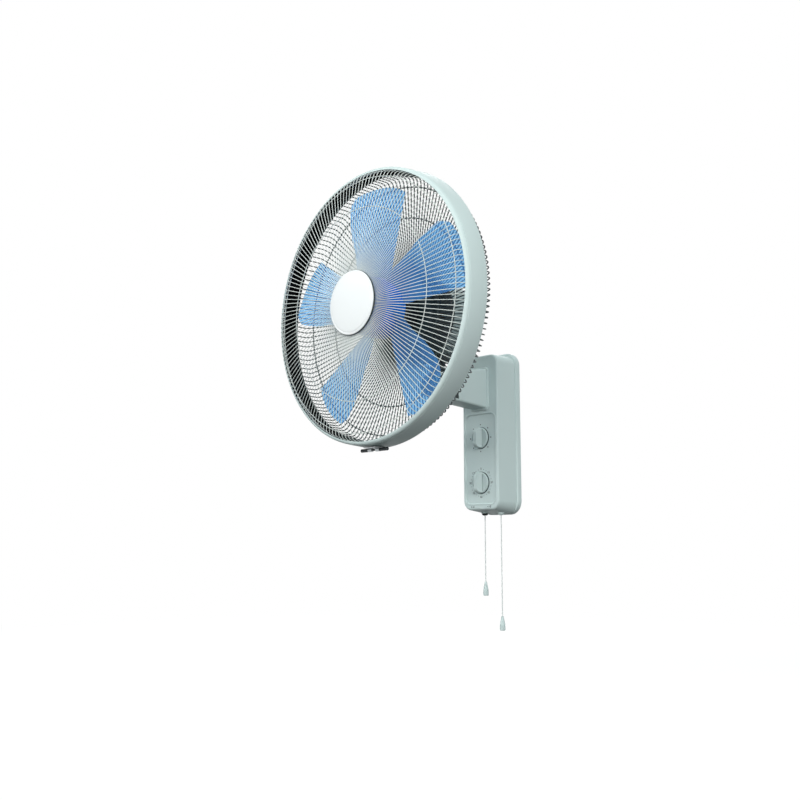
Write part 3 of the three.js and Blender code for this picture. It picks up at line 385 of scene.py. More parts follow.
@dataclass(frozen=True)
class Metal(Finish):
    """Bare or plated metal with fine drawn lines along one axis."""

    drawn: tuple[float, float, float] = (900.0, 60.0, 900.0)

    def paint(self, graph: Graph) -> Link:
        """Return the finish's shader."""
        lines = graph.noise(1.0, 3, 0.6, at=graph.stretched(self.drawn))
        stain = graph.noise(45, 4)
        return graph.principled({
            "Base Color": graph.mix(stain, self.toned(0.72), self.colour),
            "Metallic": 1.0,
            "Roughness": self.roughness + 0.18 * (lines - 0.5) + 0.1 * (stain - 0.5),
            "Normal": graph.bump(lines, 0.25, 0.00005),
        })


@dataclass(frozen=True)
class SatinPlate(Finish):
    """Smooth satin lacquer on the round plate, with faint turning marks about its own axis."""

    axis_height: float = 0.0

    def paint(self, graph: Graph) -> Link:
        """Return the finish's shader."""
        _, marks = graph.about_axis(self.axis_height, 2600, 6)
        turned = graph.noise(1.0, 2, 0.5, at=marks)
        return graph.principled({
            "Base Color": graph.mix(graph.noise(30, 3), self.toned(0.97), self.colour),
            "Roughness": self.roughness + 0.08 * (turned - 0.5),
            "Specular IOR Level": 0.2,
            "Coat Weight": 0.08,
            "Normal": graph.bump(turned, 0.08, 0.00003),
        })


@dataclass(frozen=True)
class Winding(Finish):
    """Varnished copper winding over stacked iron sheets."""

    iron: Colour = (0.12, 0.12, 0.13)

    def paint(self, graph: Graph) -> Link:
        """Return the finish's shader."""
        waves = {"Vector": graph.place(), "Scale": 420.0, "Distortion": 0.6}
        turns = graph.node("ShaderNodeTexWave", {"bands_direction": "Y"}, waves, output=1)
        patch = graph.ramp(graph.noise(40, 2), [(0.46, 0.0), (0.54, 1.0)])
        return graph.principled({
            "Base Color": graph.mix(patch, self.colour, self.iron),
            "Metallic": 0.7,
            "Roughness": self.roughness + 0.2 * (turns - 0.5),
            "Normal": graph.bump(turns, 0.5, 0.0003),
        })


@dataclass(frozen=True)
class Cordage(Finish):
    """Twisted polyester cord: soft fibres with dust in the lay."""

    def paint(self, graph: Graph) -> Link:
        """Return the finish's shader."""
        fibres = graph.noise(1.0, 3, 0.7, at=graph.stretched((5000.0, 5000.0, 700.0)))
        return graph.principled({
            "Base Color": graph.mix(graph.noise(70, 3) * 0.5 + fibres * 0.3, self.colour, self.toned(0.8)),
            "Roughness": self.roughness + 0.1 * (fibres - 0.5),
            "Sheen Weight": 0.3,
            "Normal": graph.bump(fibres, 0.6, 0.0001),
        })


@dataclass(frozen=True)
class Ink(Finish):
    """Pad printed ink with a slightly broken edge."""

    def paint(self, graph: Graph) -> Link:
        """Return the finish's shader."""
        speck = graph.noise(2600, 2)
        return graph.principled({
            "Base Color": graph.mix(speck, self.colour, self.toned(1.5)),
            "Roughness": self.roughness + 0.1 * (speck - 0.5),
            "Normal": graph.bump(speck, 0.2, 0.00002),
        })


# Mesh making


def turned_point(radius: float, depth: float, angle: float) -> Vector:
    """Return a point at a radius, depth and angle about the fan's axis."""
    return Vector((radius * math.cos(angle), -depth, AXIS.z + radius * math.sin(angle)))


def linked(name: str, data: bpy.types.ID) -> bpy.types.Object:
    """Return a new object in the scene that shows some data."""
    made = bpy.data.objects.new(name, data)
    bpy.context.scene.collection.objects.link(made)
    return made


def smooth_path(points: Profile, steps: int) -> list[tuple[float, float]]:
    """Run a smooth curve through points.

    Args:
        points: The points that the curve passes.
        steps: Steps between two of them.

    Returns:
        The curve's points.
    """
    known = [Vector(p) for p in points]
    known = [2 * known[0] - known[1], *known, 2 * known[-1] - known[-2]]
    curve = []
    for a, b, c, d in zip(known, known[1:], known[2:], known[3:]):
        for i in range(steps):
            t = i / steps
            curve.append(0.5 * (
                2 * b + (c - a) * t + (2 * a - 5 * b + 4 * c - d) * t**2 + (3 * b - a - 3 * c + d) * t**3
            ))
    curve.append(known[-2])
    return [tuple(p) for p in curve]


def arc(middle: tuple[float, float], radius: float, start: float, sweep: float, steps: int) -> Profile:
    """Follow an arc, with both its ends.

    Args:
        middle: The arc's middle.
        radius: Its radius.
        start: The angle at which it starts.
        sweep: How far it turns.
        steps: The steps along it.

    Returns:
        The arc's points.
    """
    turns = (start + sweep * i / steps for i in range(steps + 1))
    return [(middle[0] + radius * math.cos(t), middle[1] + radius * math.sin(t)) for t in turns]


def near(radius: float, depth: float, *steps: tuple[float, float]) -> Profile:
    """Return points from their offsets to a corner, which are in millimetres."""
    return [(radius + across / 1000, depth + along / 1000) for across, along in steps]


def rounded_rectangle(half: float, low: float, high: float, radius: float, steps: int = 12) -> Profile:
    """Outline a rectangle with round corners.

    Args:
        half: Half its width.
        low: Its lowest height.
        high: Its highest height.
        radius: The corners' radius.
        steps: Steps round each corner.

    Returns:
        Points (x, z), anticlockwise as seen from the front.
    """
    wide, top, bottom = half - radius, high - radius, low + radius
    middles = [(wide, top), (-wide, top), (-wide, bottom), (wide, bottom)]
    turn = math.pi / 2
    return [spot for i, middle in enumerate(middles) for spot in arc(middle, radius, turn * i, turn, steps)]


class Mesher:
    """Collects the surfaces of one piece."""

    def __init__(self) -> None:
        """Start with nothing."""
        self.points: list[Vector] = []
        self.faces: list[tuple[int, ...]] = []

    def rings(self, rings: Sequence[Sequence[Vector]], loop: bool = False) -> Mesher:
        """Skin a row of closed rings, with a cap on each end of a row that doesn't loop.

        Args:
            rings: Rings with equally many points.
            loop: Whether the last ring joins the first.

        Returns:
            The mesher.
        """
        start, count = len(self.points), len(rings[0])
        for ring in rings:
            self.points.extend(Vector(p) for p in ring)
        for i in range(len(rings) if loop else len(rings) - 1):
            a, b = start + i * count, start + (i + 1) % len(rings) * count
            for j in range(count):
                k = (j + 1) % count
                self.faces.append((a + j, a + k, b + k, b + j))
        if not loop:
            self.faces.append(tuple(start + j for j in reversed(range(count))))
            self.faces.append(tuple(start + (len(rings) - 1) * count + j for j in range(count)))
        return self

    def lathe(self, profile: Profile, centre: Vector, sides: int, upright: bool = False) -> Mesher:
        """Turn a closed profile about an axis.

        Args:
            profile: Points (radius, depth), or (radius, height) for an upright axis.
            centre: A point on the axis; its depth or height isn't used.
            sides: Steps round the axis.
            upright: Whether the axis stands upright and doesn't point out of the wall.

        Returns:
            The mesher.
        """
        rings = []
        for radius, level in profile:
            turns = arc((0.0, 0.0), radius, 0.0, 2 * math.pi, sides)[:-1]
            if upright:
                rings.append([Vector((centre.x + a, centre.y + b, level)) for a, b in turns])
            else:
                rings.append([Vector((centre.x + a, -level, centre.z + b)) for a, b in turns])
        return self.rings(rings, loop=True)

    def rod(
        self, radius: float, ends: tuple[float, float], centre: Vector, sides: int, upright: bool = False,
    ) -> Mesher:
        """Add a plain cylinder.

        Args:
            radius: Its radius.
            ends: The depths of its ends, or their heights when it stands upright.
            centre: A point on its axis.
            sides: Steps round it.
            upright: Whether it stands upright.

        Returns:
            The mesher.
        """
        low, high = ends
        return self.lathe([(0.0, low), (radius, low), (radius, high), (0.0, high)], centre, sides, upright)

    def spool(
        self, sections: Profile, centre: Vector, sides: int, flutes: int = 0, twist: float = 0.0,
    ) -> Mesher:
        """Skin round sections on an axis that runs along X.

        Args:
            sections: Pairs (x, radius).
            centre: A point on the axis.
            sides: Steps round it.
            flutes: Flutes in its rim, or 0.
            twist: The angle by which every other step is moved on.

        Returns:
            The mesher.
        """
        turns = [2 * math.pi * i / sides + twist * (i % 2) for i in range(sides)]
        reach = [1 - 0.10 * (0.5 - 0.5 * math.cos(flutes * t)) ** 1.5 for t in turns]
        rim = [Vector((0, k * math.cos(t), k * math.sin(t))) for t, k in zip(turns, reach)]
        return self.rings([[Vector((x, centre.y, centre.z)) + r * spot for spot in rim] for x, r in sections])

    def tube(
        self, path: Sequence[Sequence[float]], radius: float, sides: int, loop: bool = False,
    ) -> Mesher:
        """Sweep a round section along a path.

        Args:
            path: The points on the middle line.
            radius: The section's radius.
            sides: Steps round it.
            loop: Whether the path closes.

        Returns:
            The mesher.
        """
        path = [Vector(p) for p in path]
        count = len(path)
        side, rings = None, []
        for i, point in enumerate(path):
            ahead = path[(i + 1) % count] if loop else path[min(i + 1, count - 1)]
            behind = path[i - 1] if loop else path[max(i - 1, 0)]
            way = (ahead - behind).normalized()
            side = (way.orthogonal() if side is None else side - way * side.dot(way)).normalized()
            other = way.cross(side)
            turns = [2 * math.pi * j / sides for j in range(sides)]
            rings.append([point + radius * (side * math.cos(t) + other * math.sin(t)) for t in turns])
        return self.rings(rings, loop=loop)

    def layers(self, layers: Sequence[tuple[Profile, float]]) -> Mesher:
        """Skin (outline, depth) pairs that lie at growing depths in front of the wall."""
        return self.rings([[Vector((x, -depth, z)) for x, z in outline] for outline, depth in layers])

    def stamp(self, outline: Profile, face: float) -> Mesher:
        """Add an outline as a print that stands just proud of a face."""
        return self.layers([(outline, face - 0.0001), (outline, face + PROUD)])

    def perforated(self, profile: Profile, sides: int, openings: Openings) -> Mesher:
        """Turn an open profile about the fan's axis into a sheet with some cells left out.

        Args:
            profile: Points (radius, depth).
            sides: Steps round the axis.
            openings: For a step of the profile, the period of its slots and the steps left out of each.

        Returns:
            The mesher.
        """
        start = len(self.points)
        for radius, depth in profile:
            self.points.extend(turned_point(radius, depth, 2 * math.pi * j / sides) for j in range(sides))
        for i in range(len(profile) - 1):
            period, left_out = openings.get(i, (1, ()))
            a = start + i * sides
            for j in range(sides):
                if j % period not in left_out:
                    k = (j + 1) % sides
                    self.faces.append((a + j, a + sides + j, a + sides + k, a + k))
        return self

    def mesh(self, name: str) -> bpy.types.Mesh:
        """Make the mesh, with doubled points joined and its faces turned outwards."""
        made = bpy.data.meshes.new(name)
        made.from_pydata(self.points, [], self.faces)
        work = bmesh.new()
        work.from_mesh(made)
        bmesh.ops.remove_doubles(work, verts=work.verts, dist=WELD)
        bmesh.ops.dissolve_degenerate(work, edges=work.edges, dist=WELD)
        bmesh.ops.recalc_face_normals(work, faces=work.faces)
        work.to_mesh(made)
        work.free()
        return made


@dataclass
class Piece:
    """How one piece is hung in the frame."""

    name: str
    body: Body
    finish: Finish
    replaces: tuple[str, ...] = ()
    slot: str | None = None
    crease: float = 35.0
    thickness: float = 0.0

    def make(self, source: Mesher | bpy.types.Mesh) -> bpy.types.Object:
        """Turn a mesh into the piece, with its finish, its body and the nodes that it stands for.

        Args:
            source: The mesher or mesh that holds its shape.

        Returns:
            The finished object.
        """
        data = source.mesh(self.name) if isinstance(source, Mesher) else source
        data.name = self.name
        data.materials.clear()
        data.materials.append(self.finish.material())
        made = linked(self.name, data)
        if self.thickness:
            solid = made.modifiers.new("thickness", "SOLIDIFY")
            solid.thickness, solid.offset = self.thickness, -1
        shade(made, self.crease)
        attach(made, self.body.value)
        if self.replaces:
            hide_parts(*self.replaces)
        LOG.info("%s rides on %s", self.name, self.body.value)
        return made


def shade(made: bpy.types.Object, crease: float, bevel: float = 0.0) -> None:
    """Smooth a piece except over its creases, and round its sharp edges.

    Args:
        made: The piece.
        crease: The angle in degrees over which an edge stays sharp.
        bevel: The width of the rounding, or 0.
    """
    made.data.shade_smooth()
    made.data.set_sharp_from_angle(angle=math.radians(crease))
    if bevel:
        rounding = made.modifiers.new("rounding", "BEVEL")
        rounding.width, rounding.segments, rounding.harden_normals = bevel, 3, True
        rounding.limit_method, rounding.angle_limit = "ANGLE", math.radians(crease)


def carve(mesh: bpy.types.Mesh, cutter: Mesher, operation: str = "DIFFERENCE") -> bpy.types.Mesh:
    """Cut one shape out of another, or join it on.

    Args:
        mesh: The shape that stays.
        cutter: The shape that is taken away or joined on.
        operation: The boolean's kind.

    Returns:
        The new mesh.
    """
    body, tool = linked("body", mesh), linked("tool", cutter.mesh("tool"))
    cut = body.modifiers.new("cut", "BOOLEAN")
    cut.object, cut.operation, cut.solver = tool, operation, "EXACT"
    made = bpy.data.meshes.new_from_object(body.evaluated_get(bpy.context.evaluated_depsgraph_get()))
    for gone in (body, tool):
        bpy.data.objects.remove(gone)
    return made


# Palette


SHELL = MouldedPlastic("pale_shell", linear("ccdad8"), 0.48)
KNOB = MouldedPlastic("knob_plastic", linear("c8d6d4"), 0.40, grain=1100)
# Dark ring round each knob: painted shadow in the gap between knob and panel.
KNOB_GAP_SHADOW = MouldedPlastic("shadow_gap", linear("3c4a4c"), 0.8, grain=1100, edge_rub_and_highlight=0.0, shine=0.0, sheen_coat=0.0)
# The rear cover is the shell's pale plastic; its darker grey is painted shade for its place behind the cage.
SHADED_MOTOR_COVER = MouldedPlastic("motor_cover", linear("9aa8a7"), 0.5, grain=700, depth=0.0001)
MOTOR_BLACK = MouldedPlastic("motor_black", linear("24292b"), 0.5, grain=700, depth=0.0001, edge_rub_and_highlight=0.04)
# Near-black lining inside the band: its colour is painted shade for the band's shaded inside.
BAND_SHADE_LINER = MouldedPlastic("band_shade_liner", linear("0b0e0f"), 0.75, grain=900, edge_rub_and_highlight=0.0, shine=0.0, sheen_coat=0.04)
GLAND = MouldedPlastic("gland_rubber", linear("202425"), 0.7, grain=1300, edge_rub_and_highlight=0.03)
BRACKET = MouldedPlastic("bracket_grey", linear("4a5254"), 0.5, grain=900, edge_rub_and_highlight=0.05)
INNER = MouldedPlastic("inner_plastic", linear("6e7679"), 0.55)
# Dark ring round the badge's edge: painted shade for the badge's shadowed side wall.
BADGE_RIM_SHADE = MouldedPlastic("badge_rim_shade", linear("3c4446"), 0.3, edge_rub_and_highlight=0.05)
FRONT_WIRE = CoatedWire("front_wire", linear("d3d9d4"), 0.36)
# The rear wires share the front wires' pale coat; their dark grey is painted shade on the backlit rear half.
SHADED_REAR_WIRE = CoatedWire("rear_wire", linear("323f3f"), 0.45)
BLADE = TintedPlastic("blue_blade", (0.12, 0.39, 0.88), 0.24, (0.65, 0.89, 0.985), axis_height=AXIS.z)
HUB_BLUE = MouldedPlastic("hub_blue", linear("176ed0"), 0.35, grain=1200, edge_rub_and_highlight=0.03)
BADGE = SatinPlate("badge_plate", linear("f0f2f2"), 0.36, axis_height=AXIS.z)
STEEL = Metal("zinc_steel", linear("b4b8ba"), 0.34)
DARK_STEEL = Metal("dark_steel", linear("3a3e40"), 0.42, drawn=(60.0, 900.0, 900.0))
BRONZE = Metal("sintered_bronze", linear("a9793f"), 0.45)
COPPER = Winding("stator_winding", linear("a8632f"), 0.45)
CORDAGE = Cordage("pull_cord_fibre", linear("e2e7e5"), 0.75)
PRINT = Ink("dial_print", linear("333d3f"), 0.5)


# The two halves of the wire cage


@dataclass
class CageHalf:
    """Radial wires that are welded to rings, from the rim in the band to a hub plate."""

    node: str
    finish: Finish
    slot: str
    wires: int = 160
    wire_radius: float = 0.0006
    ring_radius: float = 0.0008
    rim_ring: float = 0.0011

    def __post_init__(self) -> None:
        """Read the half's reach from its node."""
        self.box = Box(self.node)
        self.rim_radius = self.box.radius - 0.0011
        self.inside = self.wire_radius + self.ring_radius * 0.7

    def stations(self) -> Profile:
        """Return the points (radius, depth) that a wire passes, from the rim to the hub."""
        raise NotImplementedError

    def ring_stations(self) -> list[tuple[float, float, float]]:
        """Return the (radius, depth, thickness) of each welded ring, inside the wires."""
        raise NotImplementedError

    def plate(self) -> Profile:
        """Return the closed section of the hub plate."""
        raise NotImplementedError

    def build(self) -> None:
        """Make the half as one piece."""
        path = smooth_path(self.stations(), 3)
        shape = Mesher()
        for i in range(self.wires):
            angle = 2 * math.pi * (i + 0.5) / self.wires
            shape.tube([turned_point(r, d, angle) for r, d in path], self.wire_radius, 6)
        turns = [2 * math.pi * i / 192 for i in range(192)]
        for radius, depth, thick in self.ring_stations():
            shape.tube([turned_point(radius, depth, t) for t in turns], thick, 8, loop=True)
        shape.lathe(self.plate(), AXIS, 96)
        Piece(f"{self.node}_wires", Body.HEAD, self.finish, (self.node,), self.slot, 50).make(shape)


@dataclass
class FrontCage(CageHalf):
    """The domed front half, whose wires turn back into the band."""

    ring_radius: float = 0.0006
    bend_radius: float = 0.203
    dome_rise: float = 0.0150
    dome_power: float = 2.3
    hub_radius: float = 0.050

    def dome(self, radius: float) -> float:
        """Return the dome's depth at a radius."""
        share = max(0.0, (radius - self.hub_radius) / (self.bend_radius - self.hub_radius))
        return self.box.front - 0.0011 - self.dome_rise * share**self.dome_power

    def stations(self) -> Profile:
        """Return the points (radius, depth) that a wire passes, from the rim to the hub."""
        rim, outer = self.rim_radius, self.dome(self.bend_radius)
        turn = near(rim, outer, (1.2, -13.5), (0.4, -11.8), (-0.6, -8.5), (-4.0, -3.0))
        spans = (self.bend_radius, 0.188, 0.165, 0.140, 0.110, 0.080, 0.060, 0.044)
        return turn + [(r, self.dome(r)) for r in spans]

    def ring_stations(self) -> list[tuple[float, float, float]]:
        """Return the (radius, depth, thickness) of each welded ring, inside the wires."""
        rings = [(r, self.dome(r) - self.inside, self.ring_radius) for r in (0.2045, 0.1545)]
        return [*rings, (self.rim_radius + 0.0014, self.dome(self.bend_radius) - 0.0140, self.rim_ring)]

    def plate(self) -> Profile:
        """Return the closed section of the plate behind the badge."""
        return near(0.0, self.box.front, (28, -1.6), (28, -0.4), (49, -0.4), (49, -1.6))


@dataclass
class RearCage(CageHalf):
    """The rear half, a shallow cone that ends in the plate on the motor's face."""

    wire_radius: float = 0.00105
    welds: Profile = ((0.203, 0.0314), (0.155, 0.0205), (0.078, 0.0034))

    def __post_init__(self) -> None:
        """Read the half's reach and the depth of its face from its node."""
        super().__post_init__()
        self.face = self.box.back + 0.0011

    def stations(self) -> Profile:
        """Return the points (radius, depth) that a wire passes, from the rim to the hub."""
        rim, (outer, middle, inner) = self.rim_radius, self.welds
        turn = near(rim, self.face, (0.3, 53.0), (0.4, 42.5), (-0.6, 38.6), (-4.0, 35.2))
        cone = [outer, (0.186, 0.0274), middle, (0.110, 0.0105), inner, (0.066, 0.0010), (0.054, 0.0002)]
        return [(rim, self.box.front - 0.005), *turn, *[(radius, self.face + rise) for radius, rise in cone]]

    def ring_stations(self) -> list[tuple[float, float, float]]:
        """Return the (radius, depth, thickness) of each welded ring, inside the wires."""
        rings = [(radius, self.face + rise + self.inside, self.rim_ring) for radius, rise in self.welds]
        return [*rings, (self.rim_radius + 0.0008, self.box.front - 0.0075, self.rim_ring)]

    def plate(self) -> Profile:
        """Return the closed section of the plate between the motor's face and the nut."""
        return near(0.0, self.box.back, (24, 0.3), (57, 0.3), (58.5, 1.1), (57, 1.9), (24, 1.9))


# Band, liner, badge and clasp


@dataclass
class Band:
    """The pale band round the cage, its lining painted near-black as shade, and the round plate on the front.
    """

    wall: float = 0.0027
    taper: float = 0.0028
    lip_reach: float = 0.0056
    lip_turn: float = 0.0054
    dome: float = 0.0030
    sides: int = 256

    def build(self) -> None:
        """Make the band, the lining painted as shade, the plate and the dark ring of painted shade round it.
        """
        self._band()
        self._liner()
        self._badge()

    def _band(self) -> None:
        """Make the band with its rounded lip, a shadow line behind the lip and a soft back edge."""
        outer, back, front = RING.high.x, RING.back, RING.front
        step, lead = front - self.lip_reach, outer - self.taper
        inner = lead - self.lip_turn
        turns = [math.pi / 2 * i / 8 for i in range(9)]
        shape = Mesher().lathe([
            *near(outer, back, (-1.2, 0), (-0.3, 0.3), (0, 1.2)),
            *near(lead, step, (0.2, -1.1), (-0.4, -0.6), (-0.4, -0.2)),
            *[(inner + self.lip_turn * math.cos(t), step + self.lip_reach * math.sin(t)) for t in turns],
            *near(inner, front, (-0.3, -0.4), (0.4, -1.6)),
            (lead - self.wall, front - self.lip_reach * 0.6), (outer - self.wall, back),
        ], AXIS, self.sides)
        Piece("band", Body.HEAD, SHELL, ("guard_ring",), "pale_shell", 40).make(shape)

    def _liner(self) -> None:
        """Make the lining, painted near-black as shade, with shallow ribs for the cage's two rims."""
        box = Box("ring_liner")
        outer, inner = box.high.x, box.high.x - 0.0026
        slope = self.taper / (RING.front - RING.back - self.lip_reach)
        fall = slope * (box.front - box.back)
        ribs = [(0.0, 0.0), (0.006, 0.0), (0.0066, 0.0005), (0.0086, 0.0005), (0.0092, 0.0)]
        shape = Mesher().lathe([
            *[(inner - slope * reach + rise, box.back + reach) for reach, rise in ribs],
            (inner - fall, box.front), (outer - fall, box.front), (outer, box.back),
        ], AXIS, self.sides)
        Piece("band_shade_lining", Body.HEAD, BAND_SHADE_LINER, ("ring_liner",), "liner", 40).make(shape)

    def _badge(self) -> None:
        """Make the plain round plate, slightly domed, with a shallow groove, and a dark ring of painted shade
        round its edge.
        """
        box = Box("medallion")
        rim, back, edge = box.high.x, box.back, box.front - self.dome
        dome = [(rim * s, edge + self.dome * (1 - s**2)) for s in (0.88, 0.75, 0.6, 0.45, 0.3, 0.15, 0.0)]
        shape = Mesher().lathe([
            (0.0, back + 0.0008), *near(rim, back, (-1.0, 0.8), (-1.0, 2.0)),
            *near(rim, edge, (-0.6, -1.1), (-1.0, -0.3), (-2.0, 0), (-3.2, 0.1), (-3.6, -0.2), (-4.2, -0.2)),
            (rim - 0.0046, edge + 0.0003), *dome,
        ], AXIS, 128)
        Piece("badge", Body.HEAD, BADGE, ("medallion",), "badge", 40).make(shape)
        # The dark ring is painted shade for the plate's shadowed side wall.
        rim_shade = Mesher().lathe([
            *near(rim, back, (-3.0, 0), (-0.3, 0), (0, 0.4)), *near(rim, edge, (0, -1.6), (-0.5, -1.2)),
            *near(rim, back, (-1.2, 1.9), (-1.2, 0.7), (-3.0, 0.7)),
        ], AXIS, 128)
        Piece("badge_rim_shade", Body.HEAD, BADGE_RIM_SHADE, (), "badge", 40).make(rim_shade)


@dataclass
class Clasp:
    """The screw clamp under the band: a saddle plate, a long screw and a sleeve nut."""

    plate: float = 0.0012
    knuckle: float = 0.0085
    knuckle_radius: float = 0.0030
    head: float = 0.017
    core: float = 0.0013
    thread: float = 0.0003
    pitch: float = 0.0012

    def build(self) -> None:
        """Make the saddle, the screw and the nut."""
        screw = Box("clasp_screw")
        self._saddle(screw.middle.z)
        self._screw(screw, Box("clasp_sleeve"))

    def _saddle(self, level: float) -> None:
        """Make a bent saddle plate with two knuckles round the screw, which lies at a level."""
        box = Box("ring_clasp")
        low, high, steps = box.low.x, box.high.x, 14
        spots = [low + (high - low) * i / steps for i in range(steps + 1)]
        rim = [(x, AXIS.z - math.sqrt((RING.high.x + 0.0001) ** 2 - x * x)) for x in spots]
        outline = rim + [(x, z - self.plate) for x, z in reversed(rim)]
        shape = Mesher().layers([(outline, box.back), (outline, box.front)])
        for start in (low, high - self.knuckle):
            shape.tube([(start + s, box.middle.y, level) for s in (0, self.knuckle)], self.knuckle_radius, 24)
        Piece("clasp_saddle", Body.HEAD, STEEL, ("ring_clasp",), "pale_shell").make(shape)

    def _screw(self, screw: Box, nut: Box) -> None:
        """Make the screw with its thread and its head, and the sleeve nut on its end.

        Args:
            screw: The screw's packed box.
            nut: The sleeve nut's packed box.
        """
        low, middle, rim = screw.low.x, screw.middle, (nut.high.z - nut.low.z) / 2
        neck = low + self.head
        shape = Mesher().tube([(x, middle.y, middle.z) for x in (neck, screw.high.x)], self.core, 12)
        thread = []
        for i in range(int((screw.high.x - neck) / self.pitch) * 8):
            turn = Vector((0, math.cos(math.pi / 4 * i), math.sin(math.pi / 4 * i)))
            spot = Vector((neck + self.pitch * i / 8, middle.y, middle.z))
            thread.append(spot + turn * (self.core + 0.0001))
        shape.tube(thread, self.thread, 4)
        head = [(low, 0.6), (low + 0.0006, 1.0), (neck - 0.0025, 1.0), (neck, 0.75)]
        shape.spool([(x, rim * share) for x, share in head], middle, 24)
        Piece("clasp_screw_threaded", Body.HEAD, DARK_STEEL, ("clasp_screw",), "dark_steel", 40).make(shape)
        low, high = nut.low.x, nut.high.x
        ends = [(low, 0.8), (low + 0.001, 1.0), (high - 0.001, 1.0), (high, 0.8)]
        sleeve = Mesher().spool([(x, rim * share) for x, share in ends], middle, 24, twist=0.04)
        Piece("clasp_nut", Body.HEAD, DARK_STEEL, ("clasp_sleeve",), "dark_steel", 20).make(sleeve)


# Propeller


@dataclass
class Propeller:
    """Five broad tinted blades on a cup shaped hub."""

    blades: int = 5
    tip: float = 0.199
    root_depths: tuple[float, float] = (0.286, 0.308)
    tip_depths: tuple[float, float] = (0.292, 0.312)
    camber: float = 0.004
    thickness: float = 0.0024
    phase: float = 0.8
    hub_radius: float = 0.048
    hub_depth: float = 0.039
    hub_wall: float = 0.003
    boss_radius: float = 0.011
    boss_depth: float = 0.050
    bore: float = 0.0045
    ribs: int = 10
    rib_half: float = 0.0009
    spread: tuple[tuple[float, float], ...] = (
        (0.0, 53.5), (0.08, 52.0), (0.35, 42.5), (0.53, 40.3), (0.68, 38.2), (1.0, 33.5),
    )
    tip_cut: tuple[tuple[float, float], ...] = (
        (0.0, 0.0095), (0.12, 0.0055), (0.3, 0.0012), (0.5, 0.0), (0.75, 0.0008), (0.9, 0.003), (1.0, 0.017),
    )

    @staticmethod
    def between(stations: Profile, key: float) -> float:
        """Return the value at a key, on a smooth curve through stations."""
        curve = smooth_path(stations, 8)
        for (k0, v0), (k1, v1) in zip(curve, curve[1:]):
            if k0 <= key <= k1 or k1 >= 1.0:
                share = 0.0 if k1 == k0 else min(1.0, (key - k0) / (k1 - k0))
                return v0 + (v1 - v0) * share
        return curve[-1][1]

    def blade(self, shape: Mesher, turn: float) -> None:
        """Add one blade, whose edges thin out to a round.

        Args:
            shape: The mesher that takes it.
            turn: The blade's place round the axis, in degrees.
        """
        along, across = 22, 24
        root = self.hub_radius - 0.0012
        start = len(shape.points)
        for layer in (-0.5, 0.5):
            for i in range(along + 1):
                for j in range(across + 1):
                    u, v = i / along, j / across
                    v = 0.5 - 0.5 * math.cos(math.pi * v) if 0 < j < across else v
                    u = math.sin(math.pi / 2 * u) if i < along else 1.0
                    tip = self.tip - self.between(self.tip_cut, v)
                    radius = root + (tip - root) * u
                    span = (radius - root) / (self.tip - root)
                    angle = math.radians(turn + self.phase + self.between(self.spread, span) * v)
                    back, front = (a + (b - a) * span for a, b in zip(self.root_depths, self.tip_depths))
                    depth = back + (front - back) * v - self.camber * math.sin(math.pi * v)
                    edge = (1 - abs(2 * v - 1) ** 8) * (1 - u**24)
                    depth += layer * self.thickness * math.sqrt(max(edge, 0.0))
                    shape.points.append(turned_point(radius, depth, angle))
        row, sheet = across + 1, (along + 1) * (across + 1)
        for i in range(along):
            for j in range(across):
                a = start + i * row + j
                shape.faces.append((a, a + 1, a + row + 1, a + row))
                b = a + sheet
                shape.faces.append((b, b + row, b + row + 1, b + 1))

    def build(self) -> None:
        """Make the blades, the hub and its spinner."""
        wings = Mesher()
        for i in range(self.blades):
            self.blade(wings, 360 / self.blades * i)
        Piece("blades", Body.ROTOR, BLADE, ("propeller",), "blade", 50).make(wings)
        spinner = Box("spinner")
        self._hub(spinner.back)
        cap = near(0.0, spinner.front, (0, 0), (4.0, 0), (8.0, -0.8), (10.2, -2.8), (11, -5.2))
        nut = Mesher().lathe([*cap, *near(0.0, spinner.back, (11, 0), (0, 0))], AXIS, 64)
        Piece("hub_nut", Body.ROTOR, HUB_BLUE, ("spinner",), "blade", 40).make(nut)

    def _hub(self, face: float) -> None:
        """Make the cup shaped hub with its boss and ribs, whose face lies at a depth."""
        rim, boss, bore = self.hub_radius, self.boss_radius, self.bore
        inner, ribs_end = rim - self.hub_wall, face - 0.034
        hub = Mesher().lathe([
            (bore, face - 0.0002), *near(rim, face, (-5.0, -0.2), (-2.2, -1.2), (-0.6, -3.4), (0, -6.6)),
            (rim, face - self.hub_depth), (inner, face - self.hub_depth), (inner, face - 0.0064),
            (boss, face - 0.0064), (boss, face - self.boss_depth), (bore, face - self.boss_depth),
        ], AXIS, 96)
        for i in range(self.ribs):
            angle = 2 * math.pi * i / self.ribs
            side = Vector((-math.sin(angle), 0, math.cos(angle))) * self.rib_half
            rings = []
            for radius in (boss - 0.0005, rim - 0.002):
                top, foot = (turned_point(radius, depth, angle) for depth in (face - 0.006, ribs_end))
                rings.append([top - side, top + side, foot + side, foot - side])
            hub.rings(rings)
        Piece("hub", Body.ROTOR, HUB_BLUE, (), "blade", 40).make(hub)


# Motor


